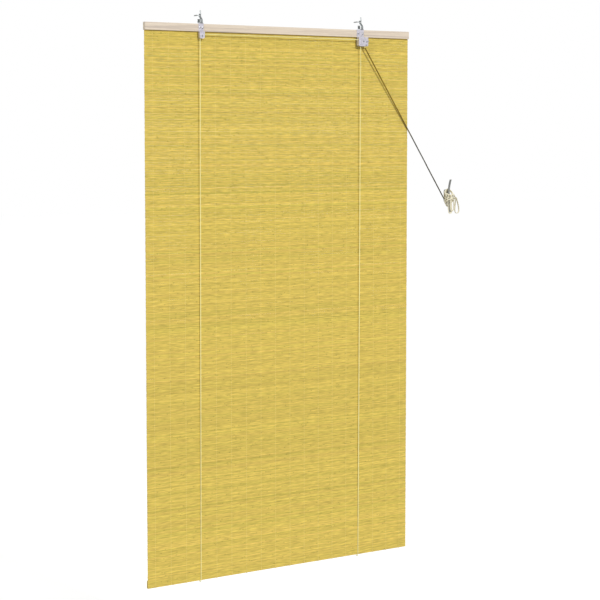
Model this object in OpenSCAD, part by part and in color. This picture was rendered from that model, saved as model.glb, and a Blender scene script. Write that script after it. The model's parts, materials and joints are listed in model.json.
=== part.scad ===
// Bamboo roll-up blind: a reed mat clamped in a wooden headrail, hung on two wall hooks,
// with a pulley, a cord lock and a wall cleat for its lift cords.
// Frame: X to the right along the headrail, Y into the wall, Z up.
// The origin lies on the wall, midway between the two hooks, on the axis of their shanks.

/* [Mat] */
// Width of the mat and of the headrail
blind_w = 900; // [700:10:1200]
// Drop from the top of the headrail to the lower edge of the mat
blind_drop = 1600; // [1200:10:1800]
// Thickness of the mat over its reeds
mat_t = 2; // [1.6:0.1:3]
// Height of one reed row
reed_pitch = 6; // [5.5:0.1:10]
// Width of the groove between two reed rows
reed_groove_w = 1.4; // [1:0.1:2]
// Depth of that groove on each face
reed_groove_d = 0.5; // [0.3:0.05:0.6]
// Number of see-through gaps between the reeds
gap_count = 110; // [0:1:120]
// Length of one gap
gap_l = 60; // [20:5:120]
// Height of one gap
gap_h = 0.6; // [0.3:0.1:0.8]
// Spacing of the warp threads
thread_pitch = 50; // [40:1:80]
// Width of a warp thread
thread_w = 0.8; // [0.5:0.1:1.2]
// Thickness of a warp thread
thread_t = 0.5; // [0.3:0.1:0.6]

/* [Headrail] */
// Height of both battens
headrail_h = 22; // [20:1:30]
// Thickness of the front batten
front_batten_t = 6; // [6:0.5:10]
// Thickness of the back batten
back_batten_t = 5; // [4:0.5:8]
// Rounding of the battens' long edges
batten_edge_r = 1.2; // [0.5:0.1:1.8]
// Number of nails through the headrail
nail_count = 8; // [4:1:10]
// Distance of the outer nails from the ends of the headrail
nail_margin = 30; // [20:5:60]
// Radius of a nail's shank
nail_r = 0.8; // [0.6:0.1:1]
// Radius of a nail's head
nail_head_r = 2; // [1.5:0.1:2.5]
// Thickness of a nail's head
nail_head_t = 0.6; // [0.4:0.1:1]
// Reach of a nail into the front batten
nail_bite = 4; // [3:0.5:5]

/* [Bottom slat] */
// Height of the slat
slat_h = 22; // [16:1:30]
// Thickness of the slat
slat_t = 4; // [3:0.5:5]
// Rounding of the slat's long edges
slat_edge_r = 1; // [0.5:0.1:1.4]
// Running room between the slat, the mat and its threads
slat_clearance = 0.2; // [0.2:0.1:0.4]

/* [Wall hooks] */
// Distance between the two hooks
hook_spacing = 548; // [540:1:556]
// Distance of the back batten from the wall
wall_gap = 11; // [10:0.5:14]
// Drop from the hook axis to the top of the headrail
hook_drop = 25; // [22:1:34]
// Radius of the hook's wire
hook_r = 1.75; // [1.5:0.05:2]
// Outer radius of the thread on the hook's shank
hook_thread_r = 1.6; // [1.4:0.05:1.7]
// Reach of the thread in front of the wall
hook_thread_front = 3; // [1:0.5:5]
// Radius of the hook's bend, at the middle of the wire
hook_bend_r = 3; // [2.5:0.1:4]
// Angle that the hook's wire turns through
hook_bend_deg = 98; // [90:1:110]
// Length of the straight tip above the bend
hook_tip_l = 8.5; // [6:0.5:12]
// Length of the shank inside the wall
hook_in_wall = 19; // [15:1:30]
// Length of the shank's point
hook_point_l = 5; // [3:0.5:8]

/* [Fittings] */
// Thickness of the pressed sheet
sheet_t = 1; // [0.8:0.1:1.2]
// Width of the left fitting's plate on the headrail
plate_w = 16; // [15:1:20]
// Overhang of the saddle behind the headrail
saddle_over = 1; // [0:0.5:2]
// Drop of the pulley axis below the headrail
pulley_drop = 12.5; // [12:0.5:16]
// Reach of the left housing below its pulley axis
housing_reach = 7; // [6:0.5:10]
// Rounding of the housings' lower corners
housing_corner_r = 5; // [3:0.5:6]
// Sideways spacing of the left fitting's two plate screws
screw_spacing = 9; // [8:0.5:10]
// Radius of a screw's shank
screw_r = 1.4; // [1.2:0.1:1.6]
// Radius of a screw's head
screw_head_r = 2.6; // [2.2:0.1:2.8]
// Height of a screw's head
screw_head_h = 1.6; // [1.2:0.1:2]
// Reach of a plate screw into the front batten
screw_bite = 5; // [4:0.5:5.5]
// Reach of the hanger screw into the front batten
hanger_screw_bite = 11; // [8:1:14]

/* [Hangers] */
// Thickness of the hanger strap
strap_t = 1.5; // [1.2:0.1:2]
// Width of the strap
strap_w = 8; // [7:0.5:10]
// Width of the strap's foot on the saddle
strap_foot_w = 12; // [10:0.5:15]
// Bend radius of the strap, at the middle of its sheet
strap_bend_r = 2; // [1.5:0.1:2.5]
// Overhang of the strap's foot in front of the plate
strap_front = 3; // [3:0.5:5]
// Height of the strap's rear ear
ear_h = 11; // [6:0.5:14]
// Height of the front riser before it leans back
riser_h = 9; // [6:0.5:10]
// Radius of the eye that hangs on the hook
eye_r = 2.6; // [2.4:0.1:3]
// Rest gap between the eye and the hook
eye_gap = 0.3; // [0.1:0.1:0.5]

/* [Pulleys] */
// Outer radius of a pulley
pulley_r = 6.5; // [6:0.1:6.6]
// Radius at the bottom of a groove
groove_r = 3.5; // [3.2:0.1:3.7]
// Width of a groove at its bottom
groove_w = 2.6; // [2.4:0.1:3]
// Width of one grooved wheel
wheel_w = 5; // [4.6:0.1:5.2]
// Thickness of a flange at the rim
flange_t = 0.6; // [0.4:0.1:0.8]
// Distance between the two grooves of the lock pulley
groove_pitch = 4.2; // [4.1:0.1:4.6]
// Radius of the rivet pins
pin_r = 1.5; // [1.3:0.1:1.7]
// Radial running room of a pulley or pawl on its pin
pin_clearance = 0.05; // [0.03:0.01:0.1]
// Side room of a pulley in its housing
side_clearance = 0.5; // [0.4:0.1:0.8]
// Radius of a rivet's head
rivet_head_r = 2.6; // [2.2:0.1:3]
// Height of a rivet's head
rivet_head_h = 0.8; // [0.5:0.1:1.2]

/* [Cord lock] */
// Width of the lock housing
lock_w = 34; // [34:0.5:37]
// Distance from the lock housing's left wall to its pulley axis
lock_left = 17; // [16:0.5:18]
// Width of the lock's plate on the headrail, from the lock's left wall
lock_plate_w = 25; // [24:0.5:27]
// Sideways spacing of the lock's two plate screws
lock_screw_spacing = 16; // [14:0.5:17]
// Reach of the lock housing below its pulley axis
lock_reach = 14.5; // [14.5:0.5:18]
// Radius of the entry hole for the cross cord
entry_r = 2.2; // [1.6:0.1:2.6]
// Distance from the pulley axis to the pawl axis, sideways
pawl_dx = 11.2; // [11.2:0.1:12]
// Drop of the pawl axis below the pulley axis
pawl_drop = 1; // [0.5:0.5:2]
// Radius of the pawl around its pin
pawl_hub_r = 3; // [2.5:0.1:3.1]
// Reach of the pawl's teeth from its axis
pawl_reach = 4.5; // [4.2:0.1:4.5]
// Number of teeth on the pawl
pawl_teeth = 3; // [2:1:4]
// Pitch of the pawl's teeth
tooth_pitch = 1.2; // [1:0.1:1.3]
// Depth of the pawl's teeth
tooth_d = 0.7; // [0.4:0.1:0.9]
// Length of the pawl's finger tail
pawl_tail_l = 9; // [7:0.5:11]
// Thickness of the pawl's finger tail
pawl_tail_t = 3; // [2:0.5:4]
// Radius of the cord guide at the lock's mouth
guide_r = 3; // [2:0.1:3.1]
// Distance from the pulley axis to the guide, sideways
guide_dx = 9.5; // [9.5:0.1:10]
// Drop of the guide below the pulley axis
guide_drop = 11.5; // [11:0.5:13]
// Radius of the stiffening bead on the lock's face
bead_r = 1.2; // [0.6:0.1:1.6]
// Length of that bead
bead_l = 16; // [8:1:18]

/* [Cleat] */
// Place of the cleat along the headrail's direction
cleat_x = 610; // [600:1:660]
// Drop of the cleat's centre below the headrail's top
cleat_drop = 506; // [500:1:600]
// Length of the cleat over its horns
cleat_l = 104; // [90:1:120]
// Radius of the horns' section
horn_r = 3.2; // [2.6:0.1:3.6]
// Room at each side of the horns inside the round of their tips
horn_tip_room = 0.4; // [0.2:0.1:1]
// Radius of the curve that the horns follow
horn_curve_r = 130; // [110:5:200]
// Distance of the horns from the wall at the neck
horn_stand = 18; // [17:0.5:22]
// Length of the neck
neck_l = 24; // [20:1:26]
// Length of the base
base_l = 40; // [40:1:48]
// Width of the base
base_w = 11; // [10:0.5:14]
// Thickness of the base
base_t = 3; // [2:0.5:4]
// Spacing of the cleat's screw holes
cleat_hole_spacing = 31; // [31:0.5:33]
// Radius of the cleat's screw holes
cleat_hole_r = 2.1; // [1.8:0.1:2.6]

/* [Cords] */
// Diameter of a lift cord
cord_d = 2; // [1.6:0.1:2.2]
// Diameter of the twisted pull cord
pull_cord_d = 4; // [3:0.1:4.2]
// Thickness of the hank's turns round the neck
hank_wall = 5.5; // [4:0.5:7]
// Width of one hanging loop of the hank
loop_w = 15; // [10:1:18]
// Length of the hanging loops
loop_l = 72; // [40:1:80]
// Thickness of the hanging loops
loop_t = 8; // [4:0.5:9]
// Angle between the two bundles of loops
loop_spread_deg = 20; // [0:1:30]
// Room between the hank and the cleat
hank_clearance = 0.3; // [0.2:0.1:0.5]

/* [Anchors] */
// Radius of the wire of the cord staples
staple_r = 0.5; // [0.4:0.05:0.6]
// Reach of a staple into the back batten
staple_bite = 3.5; // [2:0.5:4]
// Room between a staple and its cord
staple_clearance = 0.3; // [0.2:0.1:0.5]
// Radius of the knots at the cords' ends
knot_r = 2; // [1.5:0.1:2.2]

/* [Hidden] */
$fn = 48;
cut = 1;

// Levels
headrail_top = -hook_drop;
headrail_bottom = headrail_top - headrail_h;
mat_bottom = headrail_top - blind_drop;
mat_top = headrail_top - batten_edge_r;
pulley_z = headrail_bottom - pulley_drop;
saddle_top = headrail_top + sheet_t;
strap_top = saddle_top + strap_t;
screw_z = headrail_top - headrail_h / 2;

// Depths, counted from the wall
back_batten_y = -wall_gap;
mat_back = back_batten_y - back_batten_t;
mat_front = mat_back - mat_t;
front_batten_y = mat_front - front_batten_t;
plate_front = front_batten_y - sheet_t;
left_gap = wheel_w + 2 * side_clearance;
lock_gap = left_gap + groove_pitch;
groove_y = plate_front - left_gap / 2;
lock_mid_y = plate_front - lock_gap / 2;
hanger_screw_y = front_batten_y + front_batten_t / 2;

// Places along the headrail
hook_x = hook_spacing / 2;
lock_x0 = hook_x - lock_left;
lock_plate_x = lock_x0 + lock_plate_w / 2;
pawl_x = hook_x + pawl_dx;
pawl_z = pulley_z - pawl_drop;
guide_x = hook_x + guide_dx;
guide_z = pulley_z - guide_drop;
left_bottom = pulley_z - housing_reach;
lock_bottom = pulley_z - lock_reach;

// Hanger strap and hook: the eye hangs on the straight shank, just behind the bend
strap_front_y = plate_front - strap_front;
strap_back_y = back_batten_y + saddle_over;
eye_y = (mat_front + mat_back) / 2;
eye_z = hook_r + eye_gap - eye_r;
bend_y = eye_y - strap_t;

// Cleat
cleat_z = headrail_top - cleat_drop;
horn_sweep = asin((cleat_l / 2 + horn_r) / horn_curve_r);
function horn_lean(z) = let (r = horn_curve_r - horn_r) r - sqrt(pow(r, 2) - pow(z, 2));

// Routes of the cords, chosen by hand
left_route = [
    [-279, -9.5, -38], [-279, -9.5, -1612], [-279, -9.5, -1625], [-279, -10.2, -1627.5],
    [-279, -12, -1629.3], [-279, -14.5, -1630], [-279, -17, -1629.3], [-279, -18.8, -1627.5],
    [-279, -19.5, -1625], [-279, -19.6, -1612], [-279, -28, -80], [-279, -28, -59.5],
    [-278.6, -28, -57.6], [-277.5, -28, -56], [-275.9, -28, -54.9], [-274, -28, -54.5],
    [-266, -28, -54.5], [264, -32.2, -54.5], [274, -32.2, -54.5], [275.9, -32.2, -54.9],
    [277.5, -32.2, -56], [278.6, -32.2, -57.6], [279, -32.2, -59.5], [279, -32.2, -65],
    [279, -31.2, -71], [279.2, -31.2, -72.2], [279.7, -31.2, -73.5], [282.5, -31.2, -77.7]
];
right_route = [
    [269, -9.5, -38], [269, -9.5, -1612], [269, -9.5, -1625], [269, -10.2, -1627.5],
    [269, -12, -1629.3], [269, -14.5, -1630], [269, -17, -1629.3], [269, -18.8, -1627.5],
    [269, -19.5, -1625], [269, -19.6, -1612], [269, -28, -80], [269, -28, -59.5],
    [269.4, -28, -57.6], [270.5, -28, -56], [272.1, -28, -54.9], [274, -28, -54.5],
    [275.9, -28, -54.9], [277.5, -28, -56], [278.6, -28, -57.6], [279, -28, -59.5],
    [279, -28, -65], [279, -29, -71], [279.2, -29, -72.2], [279.7, -29, -73.5],
    [282.5, -29, -77.7]
];
pull_route = [
    [282.7, -30.1, -78], [380, -24.7, -221.2], [480, -19.2, -368.4], [560, -14.7, -486.1],
    [602.2, -12.4, -548.2]
];
cord_sides = 8;

// Extrudes a (y, z) outline along X
module along_x(length) {
    rotate([90, 0, 90])
        linear_extrude(length)
            children();
}

// Extrudes an (x, z) outline from the plane y = back towards the room
module to_front(back, length) {
    translate([0, back, 0])
        rotate([90, 0, 0])
            linear_extrude(length)
                children();
}

// Cylinder along Y from the plane y = back towards the room
module rod_y(x, z, back, length, r) {
    translate([x, back, z])
        rotate([90, 0, 0])
            cylinder(h = length, r = r);
}

// Rectangle from corner to corner with four round corners
module round_rect(low, high, r) {
    size = high - low;
    translate(low + [r, 0])
        square([size.x - 2 * r, size.y]);
    translate(low + [0, r])
        square([size.x, size.y - 2 * r]);
    for (x = [low.x + r, high.x - r], y = [low.y + r, high.y - r])
        translate([x, y])
            circle(r);
}

// Upright stadium of full size w by l, centred on the origin
module stadium(w, l) {
    square([w, l - w], center = true);
    for (side = [-1, 1])
        translate([0, side * (l - w) / 2])
            circle(d = w);
}

function unit(v) = v / norm(v);
function reversed(list) = [for (i = [len(list) - 1:-1:0]) list[i]];

// Centre line with its corners rounded to radius r
function fillet(path, r, steps = 4) = [
    for (i = [0:len(path) - 1])
        if (i == 0 || i == len(path) - 1) path[i]
        else
            let (a = unit(path[i - 1] - path[i]), b = unit(path[i + 1] - path[i]),
                 half = acos(a * b) / 2, centre = path[i] + unit(a + b) * r / sin(half),
                 from = path[i] + a * r / tan(half) - centre, to = path[i] + b * r / tan(half) - centre,
                 turn = 180 - 2 * half, sense = sign(from.x * to.y - from.y * to.x))
            for (k = [0:steps])
                let (angle = sense * turn * k / steps)
                centre + [
                    from.x * cos(angle) - from.y * sin(angle),
                    from.x * sin(angle) + from.y * cos(angle)
                ]
];

// Line at distance d to the left of a path, with mitred corners
function beside(path, d) = [
    for (i = [0:len(path) - 1])
        let (last = len(path) - 1,
             before = unit(path[max(i, 1)] - path[max(i, 1) - 1]),
             after = unit(path[min(i, last - 1) + 1] - path[min(i, last - 1)]),
             along = unit(before + after))
        path[i] + [-along.y, along.x] * d / (along * after)
];

// Outline of a bent sheet of thickness t along a centre line
function sheet_outline(path, t) = concat(beside(path, t / 2), reversed(beside(path, -t / 2)));

// Round tube of radius r swept along a route
function tangents(route) = [
    for (i = [0:len(route) - 1])
        unit((i > 0 ? unit(route[i] - route[i - 1]) : [0, 0, 0])
            + (i < len(route) - 1 ? unit(route[i + 1] - route[i]) : [0, 0, 0]))
];
function square_to(n, t) = unit(n - (n * t) * t);
function normals(ts) = [
    for (i = 0, n = square_to([0.3, 0.9, 0.2], ts[0]); i < len(ts);
         i = i + 1, n = square_to(n, ts[min(i, len(ts) - 1)])) n
];

module cord(route, r) {
    ts = tangents(route);
    ns = normals(ts);
    rings = len(route);
    points = [
        for (i = [0:rings - 1], k = [0:cord_sides - 1])
            let (angle = 360 * k / cord_sides)
            route[i] + r * (cos(angle) * ns[i] + sin(angle) * cross(ts[i], ns[i]))
    ];
    walls = [
        for (i = [0:rings - 2], k = [0:cord_sides - 1])
            let (a = i * cord_sides + k, b = i * cord_sides + (k + 1) % cord_sides)
            each [[a, a + cord_sides, b], [b, a + cord_sides, b + cord_sides]]
    ];
    first = [for (k = [0:cord_sides - 1]) k];
    last = [for (k = [cord_sides - 1:-1:0]) (rings - 1) * cord_sides + k];
    polyhedron(points, concat(walls, [first, last]));
}

// Headrail
function nail_x(i) = -blind_w / 2 + nail_margin + i * (blind_w - 2 * nail_margin) / (nail_count - 1);

module nail_holes() {
    for (i = [0:nail_count - 1])
        rod_y(nail_x(i), screw_z, back_batten_y + cut, back_batten_t + mat_t + nail_bite + cut, nail_r);
}

module batten(y_front, t) {
    translate([-blind_w / 2, 0, 0])
        along_x(blind_w)
            round_rect([y_front, headrail_bottom], [y_front + t, headrail_top], batten_edge_r);
}

module headrail_front() {
    color([0.88, 0.83, 0.75])
        difference() {
            batten(front_batten_y, front_batten_t);
            nail_holes();
            plate_screw_shanks(-hook_x, screw_spacing);
            plate_screw_shanks(lock_plate_x, lock_screw_spacing);
            for (x = [-hook_x, hook_x])
                hanger_screw_shank(x);
        }
}

module headrail_back() {
    color([0.85, 0.79, 0.7])
        difference() {
            batten(mat_back, back_batten_t);
            nail_holes();
            for (route = [left_route, right_route])
                staple_legs(route[0]);
        }
}

module headrail_nails() {
    color([0.6, 0.6, 0.6])
        for (i = [0:nail_count - 1]) {
            rod_y(nail_x(i), screw_z, back_batten_y, back_batten_t + mat_t + nail_bite, nail_r);
            rod_y(nail_x(i), screw_z, back_batten_y + nail_head_t, nail_head_t, nail_head_r);
        }
}

// Mat: a wall with a ridge on both faces for each reed row, plain between the battens
reed_rows = floor((headrail_bottom - mat_bottom) / reed_pitch);

function reed_face(face, inward) = [
    for (i = [0:reed_rows - 1])
        let (z = mat_bottom + (reed_rows - i) * reed_pitch)
        each [
            [face + inward * reed_groove_d, z],
            [face, z - reed_groove_w / 2],
            [face, z - reed_pitch + reed_groove_w / 2]
        ]
];

function mat_outline() = concat(
    [[mat_front, mat_top], [mat_front, mat_bottom + reed_rows * reed_pitch + reed_groove_w / 2]],
    reed_face(mat_front, 1),
    [[mat_front + reed_groove_d, mat_bottom], [mat_back - reed_groove_d, mat_bottom]],
    reversed(reed_face(mat_back, -1)),
    [[mat_back, mat_bottom + reed_rows * reed_pitch + reed_groove_w / 2], [mat_back, mat_top]]
);

// The gaps keep to the grooves, one to a row, scattered along the rows by the golden ratio
golden = (sqrt(5) - 1) / 2;

module reed_gaps() {
    room = blind_w - gap_l - 2 * thread_pitch;
    if (gap_count > 0)
        for (k = [0:gap_count - 1]) {
            row = 1 + floor(k * (reed_rows - 2) / gap_count);
            along = k * golden - floor(k * golden);
            gap_x = -room / 2 - gap_l / 2 + along * room;
            translate([gap_x, mat_front - cut, mat_bottom + row * reed_pitch - gap_h / 2])
                cube([gap_l, mat_t + 2 * cut, gap_h]);
        }
}

module bamboo_mat() {
    color([0.84, 0.75, 0.38])
        difference() {
            translate([-blind_w / 2, 0, 0])
                along_x(blind_w)
                    polygon(mat_outline());
            reed_gaps();
            nail_holes();
        }
}

// Warp threads: down the front, under the slat, and up the back
thread_count = floor(blind_w / thread_pitch);
slat_front = mat_back + thread_t + slat_clearance;
slat_back = slat_front + slat_t;
slat_top = mat_bottom + slat_h;

module warp_threads() {
    tie_back = slat_back + slat_clearance;
    tie_top = slat_top + slat_clearance;
    color([0.9, 0.82, 0.5])
        for (i = [0:thread_count - 1])
            translate([(i - (thread_count - 1) / 2) * thread_pitch - thread_w / 2, 0, 0])
                along_x(thread_w)
                    difference() {
                        union() {
                            translate([mat_front - thread_t, mat_bottom - thread_t])
                                square([mat_t + 2 * thread_t, headrail_bottom - mat_bottom + thread_t]);
                            translate([mat_front - thread_t, mat_bottom - thread_t])
                                square([
                                    tie_back + 2 * thread_t - mat_front,
                                    tie_top + 2 * thread_t - mat_bottom
                                ]);
                        }
                        translate([mat_front, mat_bottom])
                            square([mat_t, blind_drop]);
                        translate([mat_front, mat_bottom])
                            square([tie_back - mat_front, tie_top - mat_bottom]);
                    }
}

module bottom_slat() {
    color([0.85, 0.76, 0.5])
        translate([-blind_w / 2, 0, 0])
            along_x(blind_w)
                round_rect([slat_front, mat_bottom], [slat_back, slat_top], slat_edge_r);
}

// Fittings
module plate_screw_shanks(x, spacing) {
    for (side = [-1, 1])
        rod_y(x + side * spacing / 2, screw_z, front_batten_y + screw_bite,
              screw_bite + sheet_t + cut / 2, screw_r);
}

module hanger_screw_shank(x) {
    translate([x, hanger_screw_y, headrail_top - hanger_screw_bite])
        cylinder(h = hanger_screw_bite + strap_top - headrail_top + cut / 2, r = screw_r);
}

module plate_screws(x, spacing) {
    color([0.7, 0.7, 0.72])
        for (side = [-1, 1]) {
            rod_y(x + side * spacing / 2, screw_z, front_batten_y + screw_bite,
                  screw_bite + sheet_t, screw_r);
            rod_y(x + side * spacing / 2, screw_z, plate_front, screw_head_h, screw_head_r);
        }
}

// Plate on the front of the headrail with a saddle over its top
module saddle_plate(x0, w) {
    depth = strap_back_y - front_batten_y;
    to_front(front_batten_y, sheet_t)
        translate([x0, headrail_bottom])
            square([w, saddle_top - headrail_bottom]);
    translate([x0, front_batten_y, headrail_top])
        cube([w, depth, sheet_t]);
}

// Back, left wall and front of a pulley housing below the headrail, open to the right and below
module housing_shell(x0, w, gap, bottom) {
    intersection() {
        translate([x0, plate_front - gap - sheet_t, bottom])
            difference() {
                cube([w, gap + 2 * sheet_t, headrail_bottom - bottom]);
                translate([sheet_t, sheet_t, -cut])
                    cube([w, gap, headrail_bottom - bottom + 2 * cut]);
            }
        to_front(front_batten_y, gap + 2 * sheet_t)
            round_rect([x0, bottom], [x0 + w, headrail_bottom + housing_corner_r], housing_corner_r);
    }
}

module left_fitting() {
    color([0.82, 0.81, 0.85])
        difference() {
            union() {
                saddle_plate(-hook_x - plate_w / 2, plate_w);
                housing_shell(-hook_x - plate_w / 2, plate_w, left_gap, left_bottom);
            }
            plate_screw_shanks(-hook_x, screw_spacing);
            hanger_screw_shank(-hook_x);
            rod_y(-hook_x, pulley_z, front_batten_y + cut, left_gap + 2 * sheet_t + 2 * cut, pin_r);
        }
}

// Strap from the saddle to the hook: rear ear, foot, front riser, lean back, eye
module hanger(x) {
    mid_front = strap_front_y + strap_t / 2;
    mid_back = strap_back_y - strap_t / 2;
    foot_z = saddle_top + strap_t / 2;
    eye_top = eye_z + strap_w / 2;
    path = fillet([
        [mid_back, strap_top + ear_h], [mid_back, foot_z], [mid_front, foot_z],
        [mid_front, foot_z + riser_h], [eye_y, eye_z - strap_w / 2], [eye_y, eye_top]
    ], strap_bend_r);
    color([0.55, 0.56, 0.57])
        difference() {
            intersection() {
                translate([x - strap_foot_w / 2, 0, 0])
                    along_x(strap_foot_w)
                        polygon(sheet_outline(path, strap_t));
                to_front(strap_back_y + cut, strap_back_y - strap_front_y + 2 * cut) {
                    translate([x - strap_foot_w / 2, saddle_top])
                        square([strap_foot_w, strap_t]);
                    translate([x - strap_w / 2, saddle_top])
                        square([strap_w, eye_z - saddle_top]);
                    translate([x, eye_z])
                        circle(strap_w / 2);
                }
            }
            rod_y(x, eye_z, eye_y + strap_t, 2 * strap_t, eye_r);
            hanger_screw_shank(x);
        }
}

module left_hanger() {
    hanger(-hook_x);
}

module right_hanger() {
    hanger(hook_x);
}

module hanger_screws() {
    color([0.5, 0.5, 0.52])
        for (x = [-hook_x, hook_x])
            translate([x, hanger_screw_y, headrail_top - hanger_screw_bite]) {
                cylinder(h = hanger_screw_bite + strap_top - headrail_top, r = screw_r);
                translate([0, 0, hanger_screw_bite + strap_top - headrail_top])
                    cylinder(h = screw_head_h, r = screw_head_r);
            }
}

// Screw hook: threaded, pointed shank into the wall, bend, and a tip that leans back
module wall_hook(x) {
    thread_end = hook_in_wall - hook_point_l;
    color([0.53, 0.54, 0.53])
        translate([x, 0, 0]) {
            rod_y(0, 0, thread_end, thread_end + hook_thread_front, hook_thread_r);
            rod_y(0, 0, -hook_thread_front, -hook_thread_front - bend_y, hook_r);
            translate([0, thread_end, 0])
                rotate([-90, 0, 0])
                    cylinder(h = hook_point_l, r1 = hook_thread_r, r2 = hook_thread_r / 5);
            translate([0, bend_y, hook_bend_r])
                rotate([180, 90, 0]) {
                    rotate_extrude(angle = hook_bend_deg)
                        translate([hook_bend_r, 0])
                            circle(hook_r);
                    rotate([0, 0, hook_bend_deg])
                        translate([hook_bend_r, 0, 0])
                            rotate([-90, 0, 0]) {
                                cylinder(h = hook_tip_l, r = hook_r);
                                translate([0, 0, hook_tip_l])
                                    sphere(hook_r);
                            }
                }
        }
}

module left_wall_hook() {
    wall_hook(-hook_x);
}

module right_wall_hook() {
    wall_hook(hook_x);
}

module left_fitting_screws() {
    plate_screws(-hook_x, screw_spacing);
}

module lock_fitting_screws() {
    plate_screws(lock_plate_x, lock_screw_spacing);
}

// Pulleys: a turned outline with one groove for each cord
function groove_outline(y) = let (mouth = wheel_w / 2 - flange_t) [
    [pulley_r, y - mouth], [groove_r, y - groove_w / 2], [groove_r, y + groove_w / 2], [pulley_r, y + mouth]
];

module pulley(x, y, offsets) {
    bore = pin_r + pin_clearance;
    ends = wheel_w / 2 + offsets[len(offsets) - 1];
    translate([x, y, pulley_z])
        rotate([90, 0, 0])
            rotate_extrude()
                polygon(concat(
                    [[bore, -ends], [pulley_r, -ends]],
                    [for (offset = offsets) each groove_outline(offset)],
                    [[pulley_r, ends], [bore, ends]]
                ));
}

module left_pulley() {
    color([0.75, 0.75, 0.73])
        pulley(-hook_x, groove_y, [0]);
}

module lock_pulley() {
    color([0.75, 0.75, 0.73])
        pulley(hook_x, lock_mid_y, [-groove_pitch / 2, groove_pitch / 2]);
}

// Rivet pin through both walls of a housing, with a head on its face
module rivet_pin(x, z, gap) {
    color([0.66, 0.66, 0.68]) {
        rod_y(x, z, front_batten_y, gap + 2 * sheet_t, pin_r);
        rod_y(x, z, plate_front - gap - sheet_t, rivet_head_h, rivet_head_r);
    }
}

module left_pulley_pin() {
    rivet_pin(-hook_x, pulley_z, left_gap);
}

module lock_pulley_pin() {
    rivet_pin(hook_x, pulley_z, lock_gap);
}

module lock_pawl_pin() {
    rivet_pin(pawl_x, pawl_z, lock_gap);
}

// Guide that the pull cord turns round: a pin with a thick middle between the walls
module lock_guide_pin() {
    rivet_pin(guide_x, guide_z, lock_gap);
    color([0.66, 0.66, 0.68])
        rod_y(guide_x, guide_z, plate_front, lock_gap, guide_r);
}

// Lock housing: cross cord entry in the left wall, bead on the face, notch over the pull cord
module lock_housing() {
    face = plate_front - lock_gap - sheet_t;
    bead_x = lock_x0 + lock_left / 3;
    color([0.82, 0.81, 0.85])
        difference() {
            union() {
                saddle_plate(lock_x0, lock_plate_w);
                housing_shell(lock_x0, lock_w, lock_gap, lock_bottom);
                intersection() {
                    translate([bead_x, face, pulley_z]) {
                        translate([0, 0, -bead_l / 2])
                            cylinder(h = bead_l, r = bead_r);
                        for (side = [-1, 1])
                            translate([0, 0, side * bead_l / 2])
                                sphere(bead_r);
                    }
                    translate([lock_x0, face - 2 * bead_r, lock_bottom])
                        cube([lock_w, 2 * bead_r + sheet_t / 2, headrail_bottom - lock_bottom]);
                }
            }
            plate_screw_shanks(lock_plate_x, lock_screw_spacing);
            hanger_screw_shank(hook_x);
            for (place = [[hook_x, pulley_z], [pawl_x, pawl_z], [guide_x, guide_z]])
                rod_y(place.x, place.y, front_batten_y + cut, lock_gap + 2 * sheet_t + 2 * cut, pin_r);
            translate([lock_x0 - cut, lock_mid_y - groove_pitch / 2, pulley_z + groove_r + entry_r])
                rotate([0, 90, 0])
                    cylinder(h = sheet_t + 2 * cut, r = entry_r);
        }
}

// Pawl: hub, toothed nose below its pin on the cord's side, and a finger tail that weighs it shut
module lock_pawl() {
    nose_h = pawl_teeth * tooth_pitch;
    width = lock_gap - 2 * side_clearance;
    color([0.6, 0.6, 0.62])
        translate([pawl_x, plate_front - side_clearance, pawl_z])
            rotate([90, 0, 0])
                linear_extrude(width)
                    difference() {
                        union() {
                            circle(pawl_hub_r);
                            polygon(concat(
                                [[0, pawl_hub_r], [-pawl_reach + tooth_d, 0]],
                                [for (i = [0:pawl_teeth - 1]) each [
                                    [-pawl_reach, -i * tooth_pitch],
                                    [-pawl_reach + tooth_d, -(i + 1) * tooth_pitch]
                                ]],
                                [[0, -pawl_hub_r]]
                            ));
                            translate([0, pawl_hub_r - pawl_tail_t])
                                square([pawl_tail_l, pawl_tail_t]);
                            translate([pawl_tail_l, pawl_hub_r - pawl_tail_t / 2])
                                circle(pawl_tail_t / 2);
                        }
                        circle(pin_r + pin_clearance);
                    }
}

// Cleat: base on the wall, neck, and two curved horns
module cleat() {
    color([0.58, 0.58, 0.56])
        translate([cleat_x, 0, cleat_z])
            difference() {
                union() {
                    to_front(0, base_t)
                        stadium(base_w, base_l);
                    to_front(0, horn_stand)
                        stadium(2 * horn_r, neck_l);
                    intersection() {
                        translate([0, -horn_stand - horn_curve_r, 0])
                            rotate([90, 0, 90])
                                rotate([0, 0, -horn_sweep])
                                    rotate_extrude(angle = 2 * horn_sweep)
                                        translate([horn_curve_r, 0])
                                            circle(horn_r);
                        to_front(0, horn_stand + cleat_l)
                            stadium(2 * (horn_r + horn_tip_room), cleat_l);
                    }
                }
                for (side = [-1, 1])
                    rod_y(0, side * cleat_hole_spacing / 2, cut, base_t + 2 * cut, cleat_hole_r);
            }
}

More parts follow.
